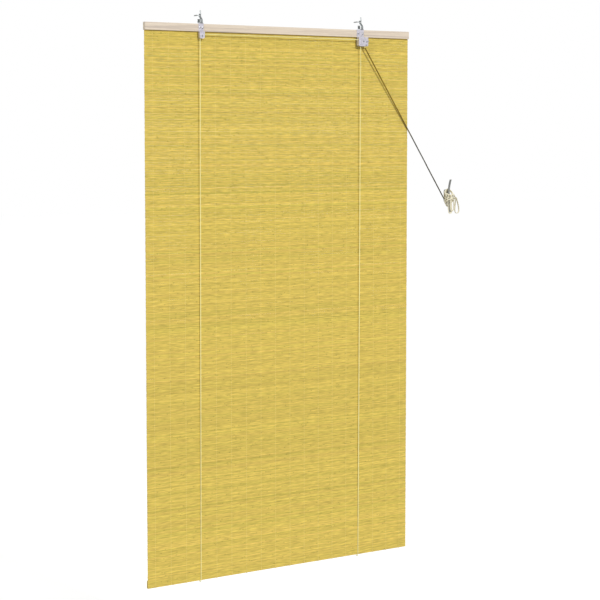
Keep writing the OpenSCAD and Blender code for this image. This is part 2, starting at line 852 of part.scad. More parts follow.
// Spare pull cord: turns round the neck, and loops that hang in front of the lower horn
module cord_hank() {
    hole_w = 2 * (horn_r + hank_clearance);
    hole_l = neck_l + 2 * hank_clearance;
    loop_top = neck_l / 3;
    loop_edge = loop_top + loop_w / 2;
    horn_front = horn_stand + horn_r + hank_clearance;
    slope = (horn_lean(cleat_l / 2) - horn_lean(loop_edge)) / (cleat_l / 2 + loop_edge);
    color([0.93, 0.91, 0.82])
        translate([cleat_x, 0, cleat_z]) {
            to_front(-base_t - hank_clearance, horn_stand - horn_r - base_t - 2 * hank_clearance)
                difference() {
                    stadium(hole_w + 2 * hank_wall, hole_l + 2 * hank_wall);
                    stadium(hole_w, hole_l);
                }
            translate([0, -horn_front - horn_lean(loop_edge) - slope * loop_w / 2, loop_top])
                rotate([-atan(slope), 0, 0])
                    to_front(0, loop_t)
                        for (angle = [0, loop_spread_deg])
                            rotate(angle)
                                translate([0, -(loop_l - loop_w) / 2])
                                    stadium(loop_w, loop_l);
        }
}

// Cords and what holds them at the back of the headrail
staple_drop = 4;
function staple_reach(end) = abs(end.y - back_batten_y) + cord_d / 2 + staple_clearance + staple_r;

module staple_legs(end) {
    for (side = [-1, 1])
        rod_y(end.x + side * (cord_d / 2 + staple_clearance + staple_r), end.z - staple_drop,
              back_batten_y + staple_reach(end), staple_bite + staple_reach(end), staple_r);
}

module cord_staples() {
    color([0.62, 0.62, 0.62])
        for (route = [left_route, right_route]) {
            end = route[0];
            half = cord_d / 2 + staple_clearance + staple_r;
            staple_legs(end);
            translate([end.x - half - staple_r, back_batten_y + staple_reach(end), end.z - staple_drop])
                rotate([0, 90, 0])
                    cylinder(h = 2 * (half + staple_r), r = staple_r);
        }
}

module cord_knots() {
    color([0.9, 0.85, 0.68])
        for (route = [left_route, right_route])
            translate([route[0].x, back_batten_y + knot_r + staple_clearance / 3, route[0].z + knot_r])
                sphere(knot_r);
}

module lift_cord_left() {
    color([0.93, 0.86, 0.6])
        cord(left_route, cord_d / 2);
}

module lift_cord_right() {
    color([0.93, 0.86, 0.6])
        cord(right_route, cord_d / 2);
}

module pull_cord() {
    color([0.55, 0.54, 0.48])
        cord(pull_route, pull_cord_d / 2);
}

headrail_front();
headrail_back();
headrail_nails();
bamboo_mat();
warp_threads();
bottom_slat();
left_fitting();
left_hanger();
left_pulley();
left_pulley_pin();
left_fitting_screws();
left_wall_hook();
lock_housing();
right_hanger();
lock_pulley();
lock_pulley_pin();
lock_pawl();
lock_pawl_pin();
lock_guide_pin();
lock_fitting_screws();
right_wall_hook();
hanger_screws();
cord_staples();
cord_knots();
lift_cord_left();
lift_cord_right();
pull_cord();
cord_hank();
cleat();
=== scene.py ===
"""Dress of a bamboo roll up blind: reeds, threads, cords, hooks, screws, finishes, light and camera."""

import json
import logging
import math
from dataclasses import dataclass, field
from enum import Enum
from typing import Any, Callable, Sequence

import bmesh
import bpy
import numpy as np
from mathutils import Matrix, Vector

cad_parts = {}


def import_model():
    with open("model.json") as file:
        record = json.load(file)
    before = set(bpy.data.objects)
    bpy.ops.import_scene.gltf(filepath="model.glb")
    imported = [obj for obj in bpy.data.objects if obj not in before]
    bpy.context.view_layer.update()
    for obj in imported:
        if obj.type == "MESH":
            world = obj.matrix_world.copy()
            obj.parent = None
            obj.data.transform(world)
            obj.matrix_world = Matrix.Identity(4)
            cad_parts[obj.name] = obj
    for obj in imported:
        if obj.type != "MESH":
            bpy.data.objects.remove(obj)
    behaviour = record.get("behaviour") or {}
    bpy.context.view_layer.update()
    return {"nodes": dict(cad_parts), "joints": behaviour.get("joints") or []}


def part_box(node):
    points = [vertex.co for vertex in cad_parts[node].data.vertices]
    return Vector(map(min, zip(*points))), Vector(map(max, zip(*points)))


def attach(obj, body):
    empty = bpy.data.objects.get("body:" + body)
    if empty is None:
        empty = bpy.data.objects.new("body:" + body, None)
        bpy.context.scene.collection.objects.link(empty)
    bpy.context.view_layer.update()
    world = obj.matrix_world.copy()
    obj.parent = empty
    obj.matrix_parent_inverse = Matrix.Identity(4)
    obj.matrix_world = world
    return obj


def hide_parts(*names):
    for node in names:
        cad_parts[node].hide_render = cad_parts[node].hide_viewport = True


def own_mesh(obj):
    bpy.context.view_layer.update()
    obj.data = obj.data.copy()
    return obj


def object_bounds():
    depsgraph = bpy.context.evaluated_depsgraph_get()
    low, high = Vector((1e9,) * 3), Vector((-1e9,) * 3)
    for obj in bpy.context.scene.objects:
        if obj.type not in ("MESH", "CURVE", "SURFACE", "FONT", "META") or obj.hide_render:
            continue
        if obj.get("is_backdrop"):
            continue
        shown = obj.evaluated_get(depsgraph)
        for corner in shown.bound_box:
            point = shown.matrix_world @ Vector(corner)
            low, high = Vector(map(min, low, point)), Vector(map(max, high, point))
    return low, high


LOG = logging.getLogger("blind")
MM = 0.001
NOISE_RANGE = (0.3, 0.7)

Point = tuple[float, float, float]
Colour = tuple[float, float, float]
Pair = tuple[float, float]
Item = bpy.types.Object
Socket = bpy.types.NodeSocket


class Body(str, Enum):
    """CAD bodies that the new pieces ride on."""

    FRAME = "blind_frame"
    SLAT = "bottom_slat"


class Lift(str, Enum):
    """The joint that raises the blind."""

    JOINT = "blind_lift"


class Slot(str, Enum):
    """Material slots of the record that the new pieces use."""

    BAMBOO = "bamboo"
    THREAD = "warp_thread"
    LIFT_CORD = "lift_cord"
    PULL_CORD = "pull_cord"
    DARK_STEEL = "grey_steel"
    BRIGHT_STEEL = "bright_steel"


class FarEnd(str, Enum):
    """What a cord's far end is."""

    OBJECT = "object"
    KNOT = "knot"


class LampKind(str, Enum):
    """Kinds of light in the studio."""

    SUN = "SUN"
    AREA = "AREA"


class Bench:
    """Modelling operators that the pieces share."""

    @staticmethod
    def clear() -> None:
        """Leave edit mode and deselect everything."""
        if bpy.context.mode != "OBJECT":
            bpy.ops.object.mode_set(mode="OBJECT")
        bpy.ops.object.select_all(action="DESELECT")

    @staticmethod
    def take(*objects: Item) -> None:
        """Select objects alone.

        Args:
            objects: The objects; the first one becomes active.
        """
        Bench.clear()
        for item in objects:
            item.select_set(True)
        bpy.context.view_layer.objects.active = objects[0]

    @staticmethod
    def settle(piece: Item) -> None:
        """Put the object's place, turn and scale into its mesh."""
        Bench.take(piece)
        bpy.ops.object.transform_apply(location=True, rotation=True, scale=True)

    @staticmethod
    def modify(piece: Item, kind: str, **settings: Any) -> None:
        """Add a modifier and apply it.

        Args:
            piece: The mesh object to change.
            kind: Blender's name of the modifier.
            settings: The modifier's own properties.
        """
        Bench.take(piece)
        modifier = piece.modifiers.new(kind.title(), kind)
        for key, value in settings.items():
            setattr(modifier, key, value)
        bpy.ops.object.modifier_apply(modifier=modifier.name)

    @staticmethod
    def cylinder(name: str, radius: float, depth: float, sides: int, place: Point = (0, 0, 0),
                 turn: Point = (0, 0, 0)) -> Item:
        """Add a cylinder as the start of a piece.

        Args:
            name: Name of the object.
            radius: Radius in metres.
            depth: Length in metres.
            sides: Number of sides.
            place: Centre of the cylinder.
            turn: Euler angles in radians; unturned, the axis is Z.

        Returns:
            The new object.
        """
        Bench.clear()
        bpy.ops.mesh.primitive_cylinder_add(
            vertices=sides, radius=radius, depth=depth, location=place, rotation=turn
        )
        made = bpy.context.object
        made.name = name
        Bench.settle(made)
        return made

    @staticmethod
    def box(name: str, size: Point, place: Point) -> Item:
        """Add a box as the start of a piece.

        Args:
            name: Name of the object.
            size: Its edges in metres.
            place: Its centre.

        Returns:
            The new object.
        """
        Bench.clear()
        bpy.ops.mesh.primitive_cube_add(size=1, location=place)
        made = bpy.context.object
        made.name = name
        made.scale = size
        Bench.settle(made)
        return made

    @staticmethod
    def pick_edges(piece: Item, test: Callable[[bmesh.types.BMEdge], bool]) -> None:
        """Go into edit mode with only some edges selected.

        Args:
            piece: The mesh object.
            test: Says of an edge whether it is selected.
        """
        Bench.take(piece)
        bpy.ops.object.mode_set(mode="EDIT")
        bpy.ops.mesh.select_mode(type="EDGE")
        bpy.ops.mesh.select_all(action="DESELECT")
        shape = bmesh.from_edit_mesh(piece.data)
        for edge in shape.edges:
            edge.select_set(test(edge))
        bmesh.update_edit_mesh(piece.data)

    @staticmethod
    def outward(piece: Item) -> None:
        """Turn all faces outwards.

        Args:
            piece: The mesh object.
        """
        Bench.take(piece)
        bpy.ops.object.mode_set(mode="EDIT")
        bpy.ops.mesh.select_all(action="SELECT")
        bpy.ops.mesh.normals_make_consistent(inside=False)
        bpy.ops.object.mode_set(mode="OBJECT")

    @staticmethod
    def smooth(piece: Item, degrees: float = 40.0) -> None:
        """Shade smooth, with creases where faces meet at more than this angle."""
        Bench.take(piece)
        bpy.ops.object.shade_smooth_by_angle(angle=math.radians(degrees))

    @staticmethod
    def join(name: str, parts: Sequence[Item]) -> Item:
        """Join parts into one object.

        Args:
            name: Name of the whole.
            parts: The mesh objects to join.

        Returns:
            The whole.
        """
        Bench.take(*parts)
        if len(parts) > 1:
            bpy.ops.object.join()
        made = bpy.context.object
        made.name = name
        return made

    @staticmethod
    def copy(piece: Item, move: Point) -> Item:
        """Duplicate a piece with its own mesh.

        Args:
            piece: The piece to copy.
            move: How far the copy is moved.

        Returns:
            The copy.
        """
        Bench.take(piece)
        bpy.ops.object.duplicate(linked=False)
        made = bpy.context.object
        made.location = move
        Bench.settle(made)
        return made

    @staticmethod
    def repeat(piece: Item, count: int, offset: Point) -> None:
        """Repeat a piece in a row, each copy moved on by the offset."""
        Bench.modify(piece, "ARRAY", count=count, use_relative_offset=False, use_constant_offset=True,
                     constant_offset_displace=offset)

    @staticmethod
    def cut(piece: Item, cutter: Item) -> None:
        """Cut the cutter's shape out of the piece and remove the cutter."""
        Bench.modify(piece, "BOOLEAN", operation="DIFFERENCE", object=cutter, solver="EXACT")
        bpy.data.objects.remove(cutter)

    @staticmethod
    def sweep(name: str, line: np.ndarray, section: Sequence[Pair], turns_per_m: float = 0.0,
              radii: Sequence[float] | None = None) -> Item:
        """Sweep a closed section along a line, as a bevelled curve made a mesh.

        Args:
            name: Name of the object.
            line: The points of the line, in metres, one row each.
            section: The section's corners, in metres.
            turns_per_m: How often the section turns about the line in one metre.
            radii: Scale of the section at each point, or None for 1 all along.

        Returns:
            The swept mesh object, with closed ends.
        """
        outline = bpy.data.curves.new(name + "_section", "CURVE")
        ring = outline.splines.new("POLY")
        ring.points.add(len(section) - 1)
        for point, corner in zip(ring.points, section):
            point.co = (corner[0], corner[1], 0, 1)
        ring.use_cyclic_u = True
        outline_object = bpy.data.objects.new(name + "_section", outline)
        bpy.context.scene.collection.objects.link(outline_object)

        curve = bpy.data.curves.new(name, "CURVE")
        curve.dimensions = "3D"
        curve.twist_mode = "MINIMUM"
        curve.bevel_mode = "OBJECT"
        curve.bevel_object = outline_object
        curve.use_fill_caps = True
        run = curve.splines.new("POLY")
        run.points.add(len(line) - 1)
        along = Route.along(line)
        for i, point in enumerate(run.points):
            point.co = (*line[i], 1)
            point.tilt = along[i] * turns_per_m * math.tau
            point.radius = 1.0 if radii is None else radii[i]
        made = bpy.data.objects.new(name, curve)
        bpy.context.scene.collection.objects.link(made)
        Bench.take(made)
        bpy.ops.object.convert(target="MESH")
        made = bpy.context.object
        bpy.data.objects.remove(outline_object)
        Bench.outward(made)
        Bench.smooth(made, 60)
        return made

    @staticmethod
    def mark(piece: Item, name: str, line: np.ndarray, values: np.ndarray) -> None:
        """Write a value that changes along a line to the mesh that was swept along it.

        Args:
            piece: The swept mesh object.
            name: Name of the attribute.
            line: The line's points.
            values: One value for each point of the line.
        """
        flat = np.zeros(len(piece.data.vertices) * 3)
        piece.data.vertices.foreach_get("co", flat)
        apart = np.linalg.norm(flat.reshape(-1, 1, 3) - line[None, :, :], axis=2)
        made = piece.data.attributes.new(name, "FLOAT", "POINT")
        made.data.foreach_set("value", values[np.argmin(apart, axis=1)].astype(np.float32))


class Section:
    """Sections that cords, threads and wires are swept from."""

    @staticmethod
    def round(radius: float, sides: int) -> list[Pair]:
        """A regular polygon of this radius."""
        angles = [math.tau * i / sides for i in range(sides)]
        return [(radius * math.cos(a), radius * math.sin(a)) for a in angles]

    @staticmethod
    def strands(radius: float, count: int, sides: int) -> list[Pair]:
        """Outline of strands that lie round one centre.

        Args:
            radius: Outer radius of the cord.
            count: Number of strands.
            sides: Corners of the outline.

        Returns:
            The outline's corners.
        """
        strand = radius / (1 + 1 / math.sin(math.pi / count)) if count > 2 else radius / 2
        reach = radius - strand
        corners = []
        for i in range(sides):
            angle = math.tau * i / sides
            nearest = round(angle * count / math.tau) * math.tau / count
            off = angle - nearest
            side = reach * math.sin(off)
            out = reach * math.cos(off) + math.sqrt(max(strand**2 - side**2, 0.0))
            corners.append((out * math.cos(angle), out * math.sin(angle)))
        return corners


class Route:
    """Lines that cords follow."""

    PER_SPAN = 16

    @staticmethod
    def along(line: np.ndarray) -> np.ndarray:
        """Distance of each point from the line's start."""
        steps = np.linalg.norm(np.diff(line, axis=0), axis=1)
        return np.concatenate([[0.0], np.cumsum(steps)])

    @staticmethod
    def spaced(points: np.ndarray, step: float) -> np.ndarray:
        """Points at even steps along straight lines.

        Args:
            points: The corners of the lines.
            step: Distance between the points that come back.

        Returns:
            The points, both ends among them.
        """
        along = Route.along(points)
        count = max(2, int(round(along[-1] / step)) + 1)
        wanted = np.linspace(0, along[-1], count)
        return np.stack([np.interp(wanted, along, points[:, k]) for k in range(3)], axis=1)

    @staticmethod
    def blend(t: np.ndarray, first: np.ndarray, second: np.ndarray, low: float, high: float) -> np.ndarray:
        """Points that go from the first to the second while t goes from low to high."""
        return ((high - t) * first + (t - low) * second) / (high - low)

    @staticmethod
    def curved(points: np.ndarray, step: float) -> np.ndarray:
        """Points at even steps along a smooth curve through the given points.

        Args:
            points: The points that the curve passes through.
            step: Distance between the points that come back.

        Returns:
            The points on the curve.
        """
        ends = np.vstack([2 * points[0] - points[1], points, 2 * points[-1] - points[-2]])
        dense = []
        for a, b, c, d in zip(ends, ends[1:], ends[2:], ends[3:]):
            pairs = ((a, b), (b, c), (c, d))
            spans = [math.sqrt(np.linalg.norm(q - p)) for p, q in pairs]
            knots = np.concatenate([[0.0], np.cumsum(spans)])
            t = np.linspace(knots[1], knots[2], Route.PER_SPAN, endpoint=False)[:, None]
            first, second, third = (
                Route.blend(t, p, q, knots[i], knots[i + 1]) for i, (p, q) in enumerate(pairs)
            )
            early = Route.blend(t, first, second, knots[0], knots[2])
            late = Route.blend(t, second, third, knots[1], knots[3])
            dense.extend(Route.blend(t, early, late, knots[1], knots[2]))
        dense.append(points[-1])
        return Route.spaced(np.array(dense), step)

    @staticmethod
    def length(line: np.ndarray) -> float:
        """Length of a line in metres."""
        return float(Route.along(line)[-1])


@dataclass
class Finish:
    """A node material with helpers that keep its graph short."""

    name: str
    tree: bpy.types.NodeTree = field(init=False, repr=False)
    shader: bpy.types.Node = field(init=False, repr=False)
    material: bpy.types.Material = field(init=False, repr=False)

    def __post_init__(self) -> None:
        """Create the material and let the subclass wire it."""
        self.material = bpy.data.materials.new(self.name)
        self.material.use_nodes = True
        self.tree = self.material.node_tree
        self.tree.nodes.clear()
        output = self.node("ShaderNodeOutputMaterial")
        self.shader = self.node("ShaderNodeBsdfPrincipled")
        self.link(self.shader.outputs["BSDF"], output.inputs["Surface"])
        self.wire()

    def wire(self) -> None:
        """Add the nodes of this finish."""

    def node(self, kind: str, **settings: Any) -> bpy.types.Node:
        """Add a node.

        Args:
            kind: Blender's name of the node.
            settings: The node's own properties.

        Returns:
            The node.
        """
        made = self.tree.nodes.new(kind)
        for key, value in settings.items():
            setattr(made, key, value)
        return made

    def link(self, source: Socket, target: Socket) -> None:
        """Join two sockets."""
        self.tree.links.new(source, target)

    def noise(self, scale: Point, detail: float = 3.0, distortion: float = 0.0,
              roughness: float = 0.55) -> Socket:
        """Noise on Object coordinates.

        Args:
            scale: Cells per metre along X, Y and Z.
            detail: Octaves.
            distortion: Warp of the pattern.
            roughness: Weight of the fine octaves.

        Returns:
            The socket with values around 0.5.
        """
        coordinates = self.node("ShaderNodeTexCoord")
        mapping = self.node("ShaderNodeMapping")
        mapping.inputs["Scale"].default_value = scale
        texture = self.node("ShaderNodeTexNoise")
        texture.inputs["Scale"].default_value = 1.0
        texture.inputs["Detail"].default_value = detail
        texture.inputs["Roughness"].default_value = roughness
        texture.inputs["Distortion"].default_value = distortion
        self.link(coordinates.outputs["Object"], mapping.inputs["Vector"])
        self.link(mapping.outputs["Vector"], texture.inputs["Vector"])
        return texture.outputs["Fac"]

    def attribute(self, name: str) -> Socket:
        """Value of one of the mesh's own attributes."""
        return self.node("ShaderNodeAttribute", attribute_name=name).outputs["Fac"]

    def ramp(self, source: Socket, stops: Sequence[tuple[float, Colour]]) -> Socket:
        """Colours along a value.

        Args:
            source: The value.
            stops: Places from 0 to 1 with their colours.

        Returns:
            The colour's socket.
        """
        made = self.node("ShaderNodeValToRGB")
        elements = made.color_ramp.elements
        while len(elements) < len(stops):
            elements.new(0.5)
        for element, (place, colour) in zip(elements, stops):
            element.position = place
            element.color = (*colour, 1)
        self.link(source, made.inputs["Fac"])
        return made.outputs["Color"]

    def map(self, source: Socket, low: float, high: float, to_low: float,
            to_high: float) -> Socket:
        """Value moved from one range to another, held at its ends.

        Args:
            source: The value.
            low: Where its range begins.
            high: Where its range ends.
            to_low: What low becomes.
            to_high: What high becomes.

        Returns:
            The new value's socket.
        """
        made = self.node("ShaderNodeMapRange")
        for key, value in zip(("From Min", "From Max", "To Min", "To Max"), (low, high, to_low, to_high)):
            made.inputs[key].default_value = value
        self.link(source, made.inputs["Value"])
        return made.outputs["Result"]

    def spread(self, noise: Socket, low: float, high: float) -> Socket:
        """Noise moved from its usual range to this one."""
        return self.map(noise, *NOISE_RANGE, low, high)

    def combine(self, kind: str, output: int, inputs: dict[int | str, Socket], **settings: Any) -> Socket:
        """Add a node that combines several values.

        Args:
            kind: Blender's name of the node.
            output: Place of the output that is used.
            inputs: What goes into which input.
            settings: The node's own properties.

        Returns:
            The output's socket.
        """
        made = self.node(kind, **settings)
        for key, source in inputs.items():
            self.link(source, made.inputs[key])
        return made.outputs[output]

    def times(self, first: Socket, second: Socket) -> Socket:
        """Product of two values."""
        return self.combine("ShaderNodeMath", 0, {0: first, 1: second}, operation="MULTIPLY")

    def shade(self, colour: Socket, amount: Socket) -> Socket:
        """Colour scaled by an amount."""
        return self.combine("ShaderNodeVectorMath", 0, {0: colour, "Scale": amount}, operation="SCALE")

    def mix(self, amount: Socket, first: Socket, second: Socket) -> Socket:
        """Colour between two colours."""
        return self.combine("ShaderNodeMix", 2, {"Factor": amount, 6: first, 7: second}, data_type="RGBA")

    def bump(self, height: Socket, distance: float, strength: float = 0.6) -> None:
        """Bend the shading normal by a height map.

        Args:
            height: The height map.
            distance: Height of the bumps in metres.
            strength: Share of the bend that shows.
        """
        made = self.node("ShaderNodeBump")
        made.inputs["Strength"].default_value = strength
        made.inputs["Distance"].default_value = distance
        self.link(height, made.inputs["Height"])
        self.link(made.outputs["Normal"], self.shader.inputs["Normal"])

    def set(self, **values: Any) -> None:
        """Set the shader's own sockets, with underscores for spaces in their names."""
        for key, value in values.items():
            self.shader.inputs[key.replace("_", " ")].default_value = value

    def colour(self, source: Socket) -> None:
        """Use this socket as base colour."""
        self.link(source, self.shader.inputs["Base Color"])

    def rough(self, source: Socket) -> None:
        """Use this socket as roughness."""
        self.link(source, self.shader.inputs["Roughness"])


@dataclass
class ReedFinish(Finish):
    """Split bamboo: a tone for each reed, long fibres, and darker rings at the joints of the cane."""

    name: str = "bamboo_reed"
    green: Colour = (0.632, 0.506, 0.098)
    straw: Colour = (0.68, 0.515, 0.106)
    tan: Colour = (0.714, 0.515, 0.118)
    tones: Pair = (0.86, 1.13)
    dashes: Pair = (0.77, 1.21)
    joint_shade: float = 0.7

    def wire(self) -> None:
        """Add the nodes of this finish."""
        fibre = self.noise((30, 1500, 1500), detail=3)
        dash = self.noise((34, 120, 400), detail=2)
        hue = self.ramp(self.attribute("reed_hue"), [(0.0, self.green), (0.5, self.straw), (1.0, self.tan)])
        tone = self.map(self.attribute("reed_tone"), 0, 1, *self.tones)
        streak = self.spread(fibre, 0.92, 1.08)
        short = self.map(dash, 0.28, 0.72, *self.dashes)
        joint = self.map(self.attribute("reed_joint"), 0, 1, 1.0, self.joint_shade)
        amount = self.times(self.times(tone, streak), self.times(short, joint))
        self.colour(self.shade(hue, amount))
        self.rough(self.spread(fibre, 0.5, 0.66))
        self.bump(fibre, 0.00015)
        self.set(Specular_IOR_Level=0.2)


@dataclass
class WoodFinish(Finish):
    """Sawn wood with long grain, growth bands and fine pores."""

    name: str = "wood"
    light: Colour = (0.84, 0.74, 0.6)
    mid: Colour = (0.72, 0.61, 0.49)
    dark: Colour = (0.55, 0.47, 0.4)
    roughness: Pair = (0.5, 0.66)

    def wire(self) -> None:
        """Add the nodes of this finish."""
        band = self.noise((2.2, 90, 160), detail=3, distortion=0.9)
        pore = self.noise((45, 1500, 1500), detail=2)
        grain = self.ramp(band, [(0.3, self.dark), (0.46, self.mid), (0.7, self.light)])
        self.colour(self.shade(grain, self.map(pore, 0.3, 0.62, 0.9, 1.04)))
        self.rough(self.spread(pore, *self.roughness))
        self.bump(pore, 0.0002)
        self.set(Specular_IOR_Level=0.3)


@dataclass
class MetalFinish(Finish):
    """Plated or bare metal with fine brushing, cloudy plating and worn patches."""

    name: str = "metal"
    light: Colour = (0.76, 0.73, 0.8)
    dark: Colour = (0.56, 0.54, 0.62)
    roughness: Pair = (0.3, 0.46)
    metallic: float = 0.35
    brushing: Point = (260, 260, 2600)

    def wire(self) -> None:
        """Add the nodes of this finish."""
        brush = self.noise(self.brushing, detail=2)
        cloud = self.noise((160, 160, 160), detail=3, distortion=0.6)
        plating = self.ramp(cloud, [(0.34, self.dark), (0.62, self.light)])
        self.colour(self.shade(plating, self.spread(brush, 0.93, 1.06)))
        self.rough(self.spread(brush, *self.roughness))
        self.bump(brush, 0.00004, 0.5)
        self.set(Metallic=self.metallic)


@dataclass
class CordFinish(Finish):
    """Spun fibre: fuzzy yarn with lighter and darker filaments."""

    name: str = "cord"
    light: Colour = (1.0, 0.97, 0.53)
    dark: Colour = (0.98, 0.91, 0.42)

    def wire(self) -> None:
        """Add the nodes of this finish."""
        yarn = self.noise((2600, 2600, 900), detail=3)
        soil = self.noise((40, 40, 40), detail=2)
        fibre = self.ramp(yarn, [(0.32, self.dark), (0.62, self.light)])
        self.colour(self.shade(fibre, self.spread(soil, 0.94, 1.05)))
        self.bump(yarn, 0.0002)
        self.set(Roughness=0.85, Sheen_Weight=0.15, Specular_IOR_Level=0.2)


@dataclass
class PullCordFinish(Finish):
    """The pull cord: cream in the hank, and darkened elsewhere by painted shade, brown near the lock and dark greige
    where it runs free.

    Each pair of colours is of the yarn's dark and light filaments.
    """

    name: str = "pull_cord"
    # near_lock and running are painted shade: the cream cord darkened, tinted brown near the lock.
    near_lock: tuple[Colour, Colour] = ((0.23, 0.152, 0.024), (0.36, 0.25, 0.045))
    running: tuple[Colour, Colour] = ((0.076, 0.073, 0.052), (0.13, 0.124, 0.09))
    in_hank: tuple[Colour, Colour] = ((0.66, 0.58, 0.38), (0.98, 0.95, 0.78))

    def wire(self) -> None:
        """Add the nodes of this finish."""
        yarn = self.noise((2200, 2200, 1100), detail=3)
        # The first two ramps are painted shade; the third is the hank's own cream.
        shade_near_lock, run, hank = (
            self.ramp(yarn, [(0.32, dark), (0.64, light)])
            for dark, light in (self.near_lock, self.running, self.in_hank)
        )
        free = self.mix(self.attribute("lock_share"), run, shade_near_lock)
        self.colour(self.mix(self.attribute("hank_share"), free, hank))
        self.bump(yarn, 0.0002)
        self.set(Roughness=0.9, Specular_IOR_Level=0.1)


@dataclass
class PaintFinish(Finish):
    """Grey stoved paint with a slight orange peel and rubbed patches."""

    name: str = "cleat_paint"
    light: Colour = (0.33, 0.335, 0.32)
    dark: Colour = (0.24, 0.245, 0.235)

    def wire(self) -> None:
        """Add the nodes of this finish."""
        peel = self.noise((1400, 1400, 1400), detail=1)
        rub = self.noise((90, 90, 60), detail=3, distortion=0.4)
        self.colour(self.ramp(rub, [(0.35, self.dark), (0.62, self.light)]))
        self.rough(self.spread(rub, 0.34, 0.52))
        self.bump(peel, 0.00006, 0.4)
        self.set(Metallic=0.2)


class Palette:
    """All finishes of the blind."""

    def __init__(self) -> None:
        """Make each finish once."""
        self.reed = ReedFinish()
        self.headrail = WoodFinish("headrail_wood")
        self.slat = WoodFinish("slat_wood", light=(0.78, 0.63, 0.28), mid=(0.7, 0.55, 0.22), dark=(0.55, 0.4, 0.14))
        self.zinc = MetalFinish("zinc_sheet")
        self.wire = MetalFinish("dull_wire", light=(0.5, 0.53, 0.53), dark=(0.31, 0.325, 0.325),
                                roughness=(0.34, 0.5), metallic=0.85)
        self.bright = MetalFinish("bright_steel", light=(0.66, 0.66, 0.68), dark=(0.5, 0.5, 0.52),
                                  roughness=(0.22, 0.36), metallic=0.9)
        self.turned = MetalFinish("turned_metal", light=(0.58, 0.57, 0.54), dark=(0.44, 0.43, 0.41),
                                  roughness=(0.3, 0.42), metallic=0.85, brushing=(300, 2600, 300))
        self.thread = CordFinish("warp_yarn", light=(0.9, 0.76, 0.28), dark=(0.78, 0.62, 0.18))
        self.lift_cord = CordFinish("lift_cord_yarn")
        self.pull_cord = PullCordFinish()
        self.paint = PaintFinish()

    def dress_nodes(self, nodes: dict[str, Item]) -> None:
        """Give each CAD node that stays in view its finish.

        Args:
            nodes: The CAD objects by node name.
        """
        finishes = (
            (self.headrail, ("headrail_front", "headrail_back")), (self.slat, ("bottom_slat",)),
            (self.zinc, ("left_fitting", "lock_housing")), (self.wire, ("left_hanger", "right_hanger")),
            (self.turned, ("left_pulley", "lock_pulley", "lock_pawl")), (self.paint, ("cleat",)),
            (self.bright, ("headrail_nails", "left_pulley_pin", "lock_pulley_pin", "lock_pawl_pin", "lock_guide_pin",
                           "cord_staples")),
        )
        for finish, names in finishes:
            for name in names:
                Fitter.paint(nodes[name], finish)
                LOG.info("node %s dressed in %s", name, finish.name)


class Fitter:
    """Puts finished pieces on the frame."""

    @staticmethod
    def paint(piece: Item, finish: Finish) -> None:
        """Give a piece one finish all over.

        Args:
            piece: The mesh object.
            finish: Its finish.
        """
        if piece.material_slots:
            for slot in piece.material_slots:
                slot.material = finish.material
        else:
            piece.data.materials.append(finish.material)

    @staticmethod
    def mount(piece: Item, finish: Finish, body: Body, slot: Slot, *nodes: str) -> None:
        """Finish a new piece and fix it to its body.

        Args:
            piece: The new piece.
            finish: Its finish.
            body: The body that carries it.
            slot: The record's material slot that it follows; not used.
            nodes: CAD nodes that it stands for.
        """
        piece.data.materials.clear()
        piece.data.materials.append(finish.material)
        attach(piece, body.value)
        if nodes:
            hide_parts(*nodes)
        LOG.info("piece %s: %d faces on %s", piece.name, len(piece.data.polygons), body.value)


@dataclass
class LiftShare:
    """How far soft pieces shorten when the blind is raised."""

    travel: float

    def shorten(self, piece: Item) -> None:
        """Give a piece its own copy of its mesh; it is not made to shorten.

        Args:
            piece: The soft piece.
        """
        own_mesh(piece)


@dataclass(frozen=True)
class LaidCord:
    """Strands laid round each other, a little proud of the cord's nominal diameter."""

    diameter: float
    strands: int
    corners: int
    lay_per_m: float
    bulk: float = 1.2
    step: float = 0.00125

    def sweep(self, name: str, line: np.ndarray) -> Item:
        """Make a piece of this cord along a line."""
        section = Section.strands(self.bulk * self.diameter / 2, self.strands, self.corners)
        return Bench.sweep(name, line, section, self.lay_per_m)

    def declare(self, piece: Item, line: np.ndarray, leaves: Point, far_end: FarEnd, others: Sequence[Item]) -> None:
        """Work out the length of a cord's line and drop it; the piece is not declared as a taut cord.

        Args:
            piece: The cord's mesh object; not used.
            line: The line that it was swept along.
            leaves: Where it leaves the object; not used.
            far_end: What its far end is; not used.
            others: Pieces that go with it; not used.
        """
        round(Route.length(line), 4)


